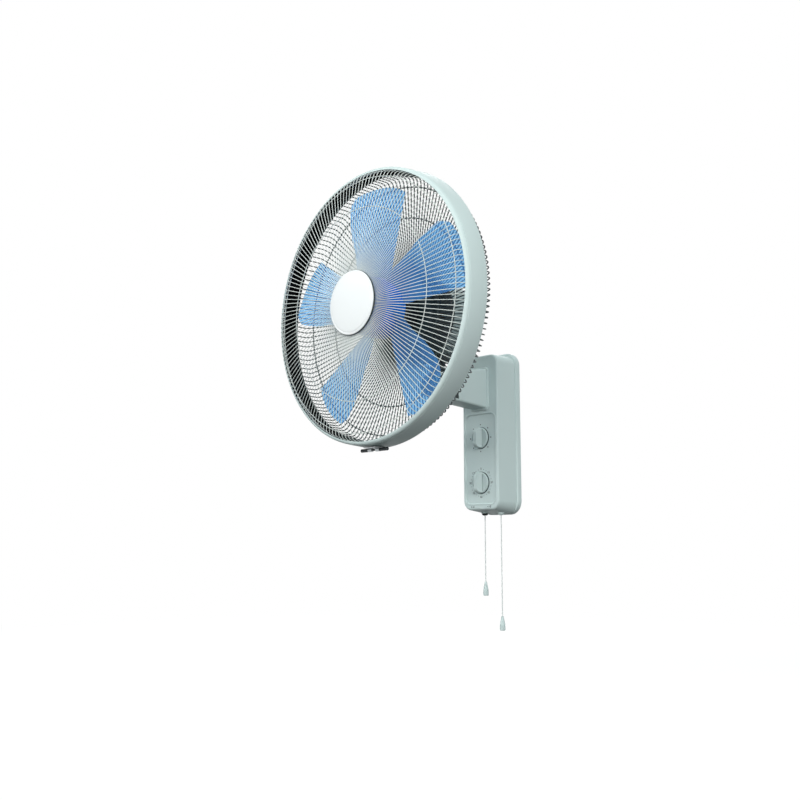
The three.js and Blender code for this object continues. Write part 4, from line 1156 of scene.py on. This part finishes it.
@dataclass
class Motor:
    """The motor's slotted front bell and domed, slotted rear cover, with its screws."""

    sides: int = 144
    wall: float = 0.0022
    screw_circle: float = 0.0245
    screw_turns: tuple[float, ...] = (90, 210, 330)
    nut_bore: float = 0.0183
    grips: int = 12
    grip_depth: float = 0.0016

    def build(self) -> None:
        """Make both shells, the screws and the cage's nut."""
        self._front()
        self._rear()
        self._screws()
        self._nut()

    def _front(self) -> None:
        """Make the front bell with radial slots in its face and short slots in its side."""
        box = Box("motor_front")
        outer, back, collar = box.high.x, box.back, box.front
        face = collar - 0.012
        shape = Mesher().perforated([
            *near(0.0, collar, (4.6, 0), (16.8, 0), (18, -1.2)),
            *near(0.0, face, (18, 1), (19, 0), (36, 0), (42, 0), (58, 0), (62.5, 0), (65.1, -1)),
            *near(outer, face, (0, -3.4), (0, -9), (0, -24)), (outer, back + 0.003), (outer, back),
        ], self.sides, {6: (6, (1, 2, 3)), 11: (6, (1, 2, 3))})
        bell = Piece("motor_bell", Body.HEAD, MOTOR_BLACK, ("motor_front",), "motor_case")
        bell.thickness = self.wall
        bell.make(shape)

    def _rear(self) -> None:
        """Make the rear cover with slots round its dome and a ring of slots in its end."""
        box = Box("motor_rear")
        outer, back, front = box.high.x, box.back, box.front
        dome = (6, (0, 1, 2))
        shape = Mesher().perforated([
            *near(outer, front, (-1.2, 0), (0, -1.2), (0, -12), (-0.6, -12.6), (-0.6, -13.6), (0, -14.2)),
            *near(outer, back, (0, 30), (-0.5, 25), (-3, 16.5), (-9, 8.6)),
            *near(outer, back, (-15, 4.2), (-24, 1.2), (-31, 0.2)),
            *near(0.0, back, (20.5, 0), (19, 0.6), (17.5, 0), (0.1, 0)),
        ], self.sides, {8: dome, 9: dome, 10: dome, 12: (12, (1, 2, 3, 4, 5))})
        # The cover's darker grey is painted shade.
        cover = Piece("motor_cover", Body.HEAD, SHADED_MOTOR_COVER, ("motor_rear",), "pale_shell")
        cover.thickness = self.wall
        cover.make(shape)

    def _screws(self) -> None:
        """Make the three round headed screws in the rear cover."""
        back = Box("motor_rear").back
        profile = near(0.0, back, (0, -0.1), (1.2, -0.1), (2.7, 0.2), (3.5, 1.2), (3.5, 2.0), (0, 2.0))
        shape = Mesher()
        for degrees in self.screw_turns:
            shape.lathe(profile, turned_point(self.screw_circle, 0, math.radians(degrees)), 24)
        Piece("motor_screws", Body.HEAD, STEEL, (), "steel").make(shape)

    def _nut(self) -> None:
        """Make the cage's ring nut with finger grips round its rim."""
        box = Box("guard_nut")
        outer, back, front, bore = box.high.x, box.back, box.front, self.nut_bore
        turns = [2 * math.pi * i / 96 for i in range(96)]
        dips = [self.grip_depth * max(0.0, math.cos(self.grips * t)) ** 2 for t in turns]
        shape = Mesher().rings([
            [turned_point(radius - dip * wave, depth, t) for t, dip in zip(turns, dips)]
            for radius, depth, wave in [
                (bore, back, 0), (outer, back, 1), (outer, front - 0.001, 1), (outer - 0.001, front, 1),
                (bore + 0.004, front, 0), (bore, front - 0.002, 0),
            ]
        ], loop=True)
        Piece("cage_nut", Body.HEAD, MOTOR_BLACK, ("guard_nut",), "motor_case").make(shape)


# Arm and tilt joint


@dataclass
class Arm:
    """The tapered arm with its root collar and fork, and the tilt joint's clamping knob."""

    collar: float = 0.003
    fork_slot: float = 0.016
    tilt_depth: float = 0.163
    shoulder: float = 0.142
    ear_radius: float = 0.0205
    corner: float = 0.0042
    top_slope: float = 0.157
    bottom_slope: float = 0.078

    def __post_init__(self) -> None:
        """Read the arm's extent and the tilt axis from the frame."""
        box = Box("arm")
        self.tilt = Vector((0, -self.tilt_depth, Box("tilt_bolt").middle.z))
        self.half = box.high.x - self.collar
        self.root = Box("base_housing").front + 0.0003
        self.top, self.bottom = box.high.z - self.collar, box.low.z + self.collar

    def bottom_at(self, depth: float) -> float:
        """Return the height of the arm's lower face at a depth."""
        return self.bottom + self.bottom_slope * (depth - self.root)

    def _section(self, inset: float, low: float, high: float, depth: float) -> tuple[Profile, float]:
        """Return the arm's rounded section, drawn in or grown at its sides, and its depth."""
        return rounded_rectangle(self.half - inset, low, high, self.corner + max(0.0, -inset), 5), depth

    def build(self) -> None:
        """Make the beam with its collar, the fork's ears and the tilt knob."""
        shoulder = self.shoulder
        ear_top, low = self.tilt.z + self.ear_radius, self.bottom_at(shoulder)
        layers = []
        for depth in (self.root, self.root + 0.03, self.root + 0.06, shoulder - 0.006):
            top = self.top - self.top_slope * (depth - self.root)
            layers.append(self._section(0.0, self.bottom_at(depth), top, depth))
        layers.append(self._section(0.0, low, ear_top, shoulder))
        layers.append(self._section(0.001, low + 0.001, ear_top - 0.001, shoulder + 0.0006))
        shape = Mesher().layers(layers)
        steps = [(0.0, 0.0), (0.0, 0.0012), (0.0006, 0.0024), (0.0018, 0.0030), (0.0030, 0.0030)]
        flange = [(self.collar - inset, self.root + depth) for inset, depth in steps]
        shape.layers([self._section(-r, self.bottom - r, self.top + r, depth) for r, depth in flange])
        back = shoulder - 0.012
        outline = [
            (back, self.bottom_at(back) + 0.002), (shoulder, low + 0.0004),
            *arc((self.tilt_depth, self.tilt.z), self.ear_radius, -math.pi / 2, math.pi, 24),
            (shoulder, ear_top), (back, ear_top),
        ]
        for side in (-1, 1):
            self._ear(shape, outline, side)
        Piece("arm_casting", Body.WALL_UNIT, SHELL, ("arm",), "pale_shell").make(shape)
        self._knob()

    def _ear(self, shape: Mesher, outline: Profile, side: int) -> None:
        """Add one ear of the fork, with a rounded outer edge.

        Args:
            shape: The mesher that takes it.
            outline: The ear's outline (depth, height).
            side: -1 or 1, the side of the fork.
        """
        outer = self.half
        rings = []
        for x, inset in [
            (self.fork_slot / 2, 0.0), (outer - 0.0016, 0.0), (outer - 0.0004, 0.0005), (outer, 0.0018),
        ]:
            ring = []
            for depth, height in outline:
                away = Vector((depth - self.tilt_depth, height - self.tilt.z))
                spot = away - away.normalized() * inset
                ring.append(Vector((side * x, -self.tilt_depth - spot.x, self.tilt.z + spot.y)))
            rings.append(ring)
        shape.rings(rings)

    def _knob(self) -> None:
        """Make the fluted knob that clamps the tilt joint."""
        box = Box("tilt_knob")
        low, high, rim = box.low.x, box.high.x, (box.high.z - box.low.z) / 2
        sections = [
            (high, 0.88), (high - 0.0010, 0.94), (high - 0.002, 1.0),
            (low + 0.0022, 1.0), (low + 0.0007, 0.96), (low, 0.86),
        ]
        shape = Mesher().spool([(x, rim * share) for x, share in sections], self.tilt, 96, flutes=6)
        Piece("tilt_grip", Body.WALL_UNIT, MOTOR_BLACK, ("tilt_knob",), "motor_case").make(shape)


# Wall unit


@dataclass
class WallUnit:
    """The wall plate, the housing with its sunk panel, the printed marks and the glands."""

    front_low: float = -0.1385
    underside_fall: float = 0.0065
    corner: float = 0.016
    soft_edge: float = 0.0035
    shell: float = 0.0028
    panel_top: float = 0.027
    panel_lift: float = 0.0105
    panel_margin: float = 0.0065
    panel_corner: float = 0.010
    sink: float = 0.0016
    marks: float = 0.0235
    dot: float = 0.0012
    tick: float = 0.0006
    figure_size: float = 0.0058
    plate_corner: float = 0.024
    plate_round: float = 0.0028
    keyholes: tuple[float, float] = (-0.112, 0.103)
    keyhole_round: float = 0.0045
    keyhole_slot: float = 0.0024
    spindle_hole: float = 0.0034
    gland_drop: float = 0.0035
    figures: tuple[str, ...] = ("0", "15", "30", "45", "60", "75", "90", "120")

    def __post_init__(self) -> None:
        """Read the unit's extents from the frame."""
        box = Box("base_housing")
        self.high, self.back, self.face = box.high, box.back, box.front
        self.floor = self.face - self.sink
        self.lip = self.front_low + self.panel_lift / 2 - 0.0002

    def build(self) -> None:
        """Make the plate, the housing, the marks and the glands."""
        self._plate()
        self._housing()
        self._marks()
        self._glands()

    def _plate(self) -> None:
        """Make the wall plate with a rounded front edge and two keyholes."""
        box, soft = Box("wall_plate"), self.plate_round
        half, low, high, depth = box.high.x, box.low.z, box.high.z, box.front
        layers = [(rounded_rectangle(half, low, high, self.plate_corner, 16), 0.0)]
        for i in range(6):
            angle = math.pi / 2 * i / 5
            inset = soft * (1 - math.cos(angle))
            corner = self.plate_corner - inset
            outline = rounded_rectangle(half - inset, low + inset, high - inset, corner, 16)
            layers.append((outline, depth - soft + soft * math.sin(angle)))
        mesh = Mesher().layers(layers).mesh("wall_plate_pressing")
        for height in self.keyholes:
            hole = [
                *arc((0.0, height), self.keyhole_round, math.radians(150), math.radians(240), 32),
                *arc((0.0, height + 0.0080), self.keyhole_slot, 0.0, math.pi, 8),
            ]
            mesh = carve(mesh, Mesher().layers([(hole, -0.002), (hole, depth + 0.002)]))
        Piece("wall_plate_pressing", Body.WALL_UNIT, SHELL, ("wall_plate",), "pale_shell").make(mesh)

    def _outline(self, inset: float, depth: float) -> tuple[Profile, float]:
        """Return the housing's outline at a depth, with the underside lower towards the wall.

        Args:
            inset: How far the outline is drawn in.
            depth: Its depth.

        Returns:
            The outline and its depth.
        """
        low, corner = self.front_low + inset, self.corner - inset
        fall = self.underside_fall * (self.face - depth) / (self.face - self.back)
        outline = rounded_rectangle(self.high.x - inset, low, self.high.z - inset, corner)
        sloped = [(x, z - fall * min(1.0, max(0.0, (low + corner - z) / corner))) for x, z in outline]
        return sloped, depth

    def _panel(self, grow: float, drop: float) -> tuple[Profile, float]:
        """Return the sunk panel's outline, grown on all sides, and its depth behind the face."""
        half = self.high.x - self.panel_margin + grow
        low = self.front_low + self.panel_lift - grow
        return rounded_rectangle(half, low, self.panel_top + grow, self.panel_corner + grow), self.face - drop

    def _housing(self) -> None:
        """Make the hollow housing with a soft front edge and a sunk panel with a round rim."""
        soft, inside = self.soft_edge, self.face - 0.0044
        layers = [self._outline(0.0, self.back)]
        for i in range(8):
            angle = math.pi / 2 * i / 7
            inset, drop = soft * (1 - math.cos(angle)), soft * (1 - math.sin(angle))
            layers.append(self._outline(inset, self.face - drop))
        layers.append(self._outline(soft + 0.00004, self.face))
        bead = [(2.93, 0), (2.9, 0), (2.4, -0.3), (1.8, -0.6), (1.0, -0.5), (0.3, 0.3), (-0.4, 1.1)]
        layers += [self._panel(grow, drop) for grow, drop in (*near(0, 0, *bead), (-0.0010, self.sink))]
        pads, holes = Mesher(), Mesher()
        for knob in ("speed_knob", "timer_knob"):
            holes.rod(self.spindle_hole, (inside - 0.002, self.face + 0.002), Box(knob).middle, 32)
        for side in ("left", "right"):
            box = Box(f"grommet_{side}")
            level = box.low.z + self.gland_drop
            pads.rod(box.radius + 0.0009, (level, level + 0.0026), box.middle, 40, upright=True)
            holes.rod(box.radius - 0.0011, (box.low.z, box.high.z + 0.001), box.middle, 32, upright=True)
        mesh = carve(Mesher().layers(layers).mesh("housing_shell"), pads, "UNION")
        wall = [self._outline(self.shell, self.back - 0.001), self._outline(self.shell, inside)]
        mesh = carve(carve(mesh, Mesher().layers(wall)), holes)
        Piece("housing_shell", Body.WALL_UNIT, SHELL, ("base_housing",), "pale_shell", 32).make(mesh)

    def _figure(self, text: str, spot: tuple[float, float]) -> bpy.types.Mesh:
        """Make a flat raised figure on the panel.

        Args:
            text: The figure.
            spot: The point (x, z) of its middle.

        Returns:
            The mesh.
        """
        curve = bpy.data.curves.new("figures", "FONT")
        curve.body, curve.size, curve.extrude = text, self.figure_size, 0.00006
        curve.align_x, curve.align_y = "CENTER", "CENTER"
        holder = linked("figures", curve)
        mesh = bpy.data.meshes.new_from_object(holder)
        bpy.data.objects.remove(holder)
        bpy.data.curves.remove(curve)
        place = Matrix.Translation((spot[0], -self.floor - 0.00003, spot[1]))
        mesh.transform(place @ Matrix.Rotation(math.pi / 2, 4, "X"))
        return mesh

    def _clock(self, height: float, angle: float, reach: float = 0.0) -> tuple[float, float]:
        """Return the point (x, z) at a clockwise angle on the ring of marks round a knob."""
        radius = self.marks + reach
        return radius * math.sin(angle), height + radius * math.cos(angle)

    def _dot(self, shape: Mesher, spot: tuple[float, float], radius: float) -> None:
        """Add a thin printed dot on the panel."""
        shape.stamp(arc(spot, radius, 0.0, 2 * math.pi, 16)[:-1], self.floor)

    def _bar(self, shape: Mesher, x: float, half: float, tall: float) -> None:
        """Add a thin printed bar on the lip below the panel."""
        low, high = self.lip - tall, self.lip + tall
        shape.stamp([(x + half, high), (x - half, high), (x - half, low), (x + half, low)], self.face)

    def _marks(self) -> None:
        """Print the dots round the upper knob, figures round the lower one and two plain signs."""
        upper, lower = (Box(knob).middle.z for knob in ("speed_knob", "timer_knob"))
        shape = Mesher()
        eighth = math.pi / 4
        for i in range(8):
            self._dot(shape, self._clock(upper, eighth * i), self.dot)
        for i in range(8):
            for turn in (-0.13, 0.13):
                self._dot(shape, self._clock(lower, eighth * (i + 0.5) + turn), self.tick)
        for i in range(3):
            self._bar(shape, 0.0160 + 0.0032 * i, 0.0007, 0.0008 + 0.0006 * i)
        for side in (-1, 1):
            tip = -0.0188 + 0.0046 * side
            barb = tip - 0.0022 * side
            arrow = [(tip, self.lip), (barb, self.lip + 0.0014), (barb, self.lip - 0.0014)]
            shape.stamp(arrow[::-side], self.face)
        self._bar(shape, -0.0188, 0.0028, 0.0004)
        mesh = shape.mesh("panel_marks")
        work = bmesh.new()
        work.from_mesh(mesh)
        for i, figure in enumerate(self.figures):
            work.from_mesh(self._figure(figure, self._clock(lower, eighth * i, 0.0008)))
        work.to_mesh(mesh)
        work.free()
        Piece("panel_marks", Body.WALL_UNIT, PRINT, (), "inner_plastic", 30).make(mesh)

    def _glands(self) -> None:
        """Make the two glands that the pull cords run through."""
        bore = 0.0013
        for side, finish in (("left", GLAND), ("right", SHELL)):
            box = Box(f"grommet_{side}")
            outer, low, high = box.radius, box.low.z, box.high.z
            neck, seat = outer - 0.0013, low + self.gland_drop - 0.0003
            shape = Mesher().lathe([
                (bore, high), (neck, high), (neck, seat),
                *near(outer, seat, (-0.3, 0), (0, -0.4), (0, -1.4), (-0.6, -2.2)),
                (outer - 0.0020, low), (bore + 0.0009, low), (bore, low + 0.0008),
            ], box.middle, 40, upright=True)
            Piece(f"gland_{side}", Body.WALL_UNIT, finish, (f"grommet_{side}",), "gland").make(shape)


@dataclass
class ControlKnob:
    """A round knob with a tapered bar grip."""

    node: str
    body: Body
    grip: float = 0.0066
    grip_tip: float = 0.0034
    spindle: float = 0.003
    end_round: float = 0.0092
    steps: int = 12

    def _bar(self, half: float, radius: float, height: float) -> Profile:
        """Return the grip's outline: a bar with ends cut by a circle.

        Args:
            half: Half the bar's width.
            radius: The circle's radius.
            height: The knob's height.

        Returns:
            Points (x, z), anticlockwise.
        """
        spread = math.asin(half / radius)
        ends = (math.pi / 2, -math.pi / 2)
        return [spot for end in ends for spot in arc((0.0, height), radius, end - spread, 2 * spread, 12)]

    def build(self) -> None:
        """Make the skirt, the grip and the spindle as one knob, and a dark ring of painted shadow behind it.
        """
        box = Box(self.node)
        centre = Vector((0, 0, box.middle.z))
        rim, back = box.high.x, Box("base_housing").front - 0.0015 + 0.0003
        skirt, front = back + 0.004, box.front
        shape = Mesher().lathe([
            (0.0, back), *near(rim, back, (-1.6, 0), (-1.6, 1.1), (0, 1.3)),
            *near(rim, skirt, (0, -1.2), (-0.4, -0.4), (-1.2, 0), (-2.2, -0.2), (-3.0, -1.8)),
            (0.0, skirt - 0.0018),
        ], centre, 96)
        layers = []
        for i in range(self.steps + 1):
            rise = math.sin(math.pi / 2 * i / self.steps)
            swell = max(0.0, (rise - 0.35) / 0.65)
            end = rim - 0.0010 - self.end_round * (1 - math.sqrt(max(0.0, 1 - swell**1.7)))
            half = self.grip + (self.grip_tip - self.grip) * rise
            if i == self.steps:
                half, end = half - 0.0005, end - 0.0004
            layers.append((self._bar(half, end, centre.z), skirt + (front - skirt) * rise - 0.0001))
        shape.layers(layers)
        shape.rod(self.spindle, (box.back, back + 0.0001), centre, 24)
        Piece(f"{self.node}_moulding", self.body, KNOB, (self.node,), "knob").make(shape)
        # A flat dark ring round the knob's foot: painted shadow for the gap.
        band = near(rim, back, (-2.2, -0.4), (0.9, -0.4), (0.9, -0.2), (-2.2, -0.2))
        gap = Mesher().lathe(band, centre, 96)
        Piece(f"{self.node}_gap", Body.WALL_UNIT, KNOB_GAP_SHADOW, (), "inner_plastic", 30).make(gap)


# Pull cords


@dataclass
class PullCord:
    """A thin cord twisted from three strands, which hangs from its switch with a bell on its end."""

    side: str
    body: Body
    diameter: float = 0.0019
    strand_share: float = 0.27
    lay: float = 0.0062

    def build(self) -> None:
        bell = self._bell()
        node = f"pull_cord_{self.side}"
        box = Box(node)
        middle, top, length = box.middle, box.high.z, box.high.z - box.low.z
        strand = self.diameter * self.strand_share
        offset = self.diameter / 2 - strand
        steps = int(length / self.lay * 10)
        shape = Mesher()
        for k in range(3):
            path = []
            for i in range(steps + 1):
                drop = length * i / steps
                angle = 2 * math.pi * (k / 3 + drop / self.lay)
                x, y = middle.x + offset * math.cos(angle), middle.y + offset * math.sin(angle)
                path.append((x, y, top - drop))
            shape.tube(path, strand, 6)
        cord = Piece(f"cord_{self.side}", self.body, CORDAGE, (node,), "cord", 60).make(shape)
        route = [(middle.x, middle.y, top - length * i / 24) for i in range(25)]
        leaves = (middle.x, middle.y, Box(f"grommet_{self.side}").low.z)

    def _bell(self) -> bpy.types.Object:
        """Make the bell grip with its collar, seam and open rim."""
        node = f"pull_bell_{self.side}"
        box = Box(node)
        wide, low, tall = box.radius, box.low.z, box.high.z - box.low.z
        stations = [
            (0.0008, 1.0), (0.0019, 0.995), (0.0021, 0.95), (0.0023, 0.88), (0.0028, 0.78), (0.0036, 0.62),
            (0.0042, 0.48), (wide - 0.0001, 0.36), (wide - 0.0004, 0.345), (wide - 0.0004, 0.325),
            (wide, 0.31), (wide, 0.06), (wide - 0.0003, 0.015), (wide - 0.0009, 0.0),
            (wide - 0.0016, 0.012), (wide - 0.0022, 0.10), (0.0, 0.12),
        ]
        profile = [(0.0, box.high.z - 0.0006), *[(r, low + tall * share) for r, share in stations]]
        shape = Mesher().lathe(profile, box.middle, 48, upright=True)
        return Piece(f"bell_{self.side}", self.body, SHELL, (node,), "pale_shell").make(shape)


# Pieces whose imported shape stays


@dataclass(frozen=True)
class Kept:
    """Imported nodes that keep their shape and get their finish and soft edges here."""

    finish: Finish
    bevel: float
    nodes: tuple[str, ...]

    def dress(self) -> None:
        """Give the nodes their finish, their shading and rounded edges."""
        for node in self.nodes:
            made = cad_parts[node]
            made.data.materials.clear()
            made.data.materials.append(self.finish.material())
            shade(made, 30, self.bevel)
            LOG.info("%s keeps its shape", node)


KEPT = (
    Kept(BRACKET, 0.0006, ("neck",)),
    Kept(MOTOR_BLACK, 0.0008, ("swing_bracket",)),
    Kept(MOTOR_BLACK, 0.0006, ("swing_drive",)),
    Kept(STEEL, 0.0002, ("swing_link",)),
    Kept(STEEL, 0.0003, ("swing_crank", "fan_shaft", "rotor_core")),
    Kept(STEEL, 0.0004, ("tilt_bolt",)),
    Kept(COPPER, 0.0006, ("stator",)),
    Kept(BRONZE, 0.0002, ("bush_front", "bush_rear")),
    Kept(INNER, 0.0005, ("speed_switch", "timer_unit", "terminal_block")),
    Kept(INNER, 0.0004, ("pull_switch_left", "pull_switch_right")),
    Kept(GLAND, 0.0006, ("capacitor",)),
    Kept(BADGE, 0.0002, ("pull_rod_left", "pull_rod_right")),
)


# Studio

WHITE = {"Color": (1.0, 1.0, 1.0, 1.0), "Strength": 1.0}


@dataclass
class Studio:
    """The camera at the photograph's place, soft lamps, a pale floor and a white surround."""

    eye: tuple[float, float, float] = (1.1540, -1.3496, -0.1912)
    azimuth: float = 46.39
    elevation: float = -8.04
    focal_share: float = 995.09 / 800
    floor_drop: float = 0.05
    floor_reach: float = 14.0
    floor_glow: float = 0.74
    ambient: float = 0.72
    from_below: float = 0.14
    from_side: float = 0.60
    aim: tuple[float, float, float] = (0.0, -0.2, 0.05)

    def camera(self) -> None:
        """Make the camera that sees the object as the photograph does."""
        a, e = math.radians(self.azimuth), math.radians(self.elevation)
        back = Vector((math.sin(a) * math.cos(e), -math.cos(a) * math.cos(e), math.sin(e)))
        right = Vector((math.cos(a), math.sin(a), 0))
        data = bpy.data.cameras.new("camera")
        data.sensor_width, data.lens = 36.0, 36.0 * self.focal_share
        data.clip_start, data.clip_end = 0.05, 60.0
        made = linked("camera", data)
        rotation = Matrix((right, back.cross(right), back)).transposed().to_4x4()
        made.matrix_world = Matrix.Translation(self.eye) @ rotation
        bpy.context.scene.camera = made

    def lights(self) -> None:
        """Set a key from high on the left, a front pair, a right side and a fill from behind."""
        for name, spot, size, power in (
            ("key", (-1.5, -2.0, 1.7), 1.4, 20),
            ("front", (0.2, -2.7, -0.05), 0.9, 17),
            ("front_right", (1.5, -2.5, 1.0), 0.9, 19),
            ("right_side", (2.3, -1.2, 0.5), 0.9, 19),
            ("fill", (-1.4, 1.8, 1.4), 1.4, 22),
        ):
            data = bpy.data.lights.new(name, "AREA")
            data.shape, data.size, data.energy = "SQUARE", size, power
            made = linked(name, data)
            made.location, made.rotation_mode = spot, "QUATERNION"
            made.rotation_quaternion = (Vector(self.aim) - Vector(spot)).to_track_quat("-Z", "Y")

    def surround(self) -> None:
        """Make a world that lights softly and is white where it is seen or reflected."""
        world = bpy.data.worlds.new("surround")
        world.use_nodes = True
        bpy.context.scene.world = world
        graph = Graph(world.node_tree)
        height = graph.node("ShaderNodeSeparateXYZ", {}, {0: graph.node("ShaderNodeTexCoord")}, "Z")
        level = graph.ramp(height * 0.5 + 0.5, [(0.0, self.from_below), (0.35, self.from_side), (0.62, 1.0)])
        shades = {"Color": (0.88, 0.985, 1.0, 1.0), "Strength": level * self.ambient}
        soft = graph.node("ShaderNodeBackground", {}, shades)
        white = graph.node("ShaderNodeBackground", {}, WHITE)
        both = graph.node("ShaderNodeMixShader", {}, {0: self._seen(graph), 1: soft, 2: white})
        graph.surface(both, "World")

    @staticmethod
    def _seen(graph: Graph) -> Link:
        """Return 1 for camera, mirror and clear rays, and 0 for the rest."""
        ray = graph.node("ShaderNodeLightPath", output="Is Camera Ray")
        total = ray + ray.beside("Is Glossy Ray") + ray.beside("Is Transmission Ray")
        return graph.node("ShaderNodeMath", {"operation": "MINIMUM"}, {0: total, 1: 1.0})

    def floor(self) -> None:
        """Lay a pale floor that keeps the object's shadow and fades to white in the distance."""
        level, reach = CAD_BOX[0].z - self.floor_drop, self.floor_reach
        corners = [(x * reach, y * reach, level) for x, y in ((-1, -1), (1, -1), (1, 1), (-1, 1))]
        data = bpy.data.meshes.new("floor")
        data.from_pydata(corners, [], [(0, 1, 2, 3)])
        material = bpy.data.materials.new("floor")
        material.use_nodes = True
        graph = Graph(material.node_tree)
        x = graph.node("ShaderNodeSeparateXYZ", {}, {0: graph.place()}, "X")
        y = x.beside("Y") + 0.2
        far = graph.ramp((x * x + y * y) ** 0.5 * 0.5, [(0.15, 0.0), (0.6, 1.0)])
        seen = self._seen(graph)
        pale = graph.mix(graph.noise(220, 3), (0.25, 0.26, 0.26), (0.28, 0.29, 0.29))
        pale = graph.mix(seen, (0.06, 0.065, 0.065), pale)
        near = graph.node("ShaderNodeBsdfDiffuse", {}, {"Color": pale})
        glow = graph.node("ShaderNodeEmission", {}, {**WHITE, "Strength": seen * self.floor_glow})
        lifted = graph.node("ShaderNodeAddShader", {}, {0: near, 1: glow})
        white = graph.node("ShaderNodeEmission", {}, WHITE)
        graph.surface(graph.node("ShaderNodeMixShader", {}, {0: far * seen, 1: lifted, 2: white}))
        data.materials.append(material)
        linked("floor", data)

    def build(self) -> None:
        """Light the stage and lay the floor."""
        bpy.context.scene.view_settings.view_transform = "Standard"
        self.surround()
        self.lights()
        self.floor()


def main() -> None:
    """Build the whole object in order."""
    logging.basicConfig(level=logging.INFO, format="%(name)s: %(message)s")
    studio = Studio()
    studio.camera()
    for part in (
        PullCord("left", Body.PULL_LEFT), PullCord("right", Body.PULL_RIGHT), WallUnit(),
        ControlKnob("speed_knob", Body.SPEED_KNOB), ControlKnob("timer_knob", Body.TIMER_KNOB),
        Arm(), Motor(), Propeller(), RearCage("rear_guard", SHADED_REAR_WIRE, "rear_wire"),
        FrontCage("front_guard", FRONT_WIRE, "wire"), Band(), Clasp(),
    ):
        part.build()
    for kept in KEPT:
        kept.dress()
    studio.build()


if __name__ == "__main__":
    main()
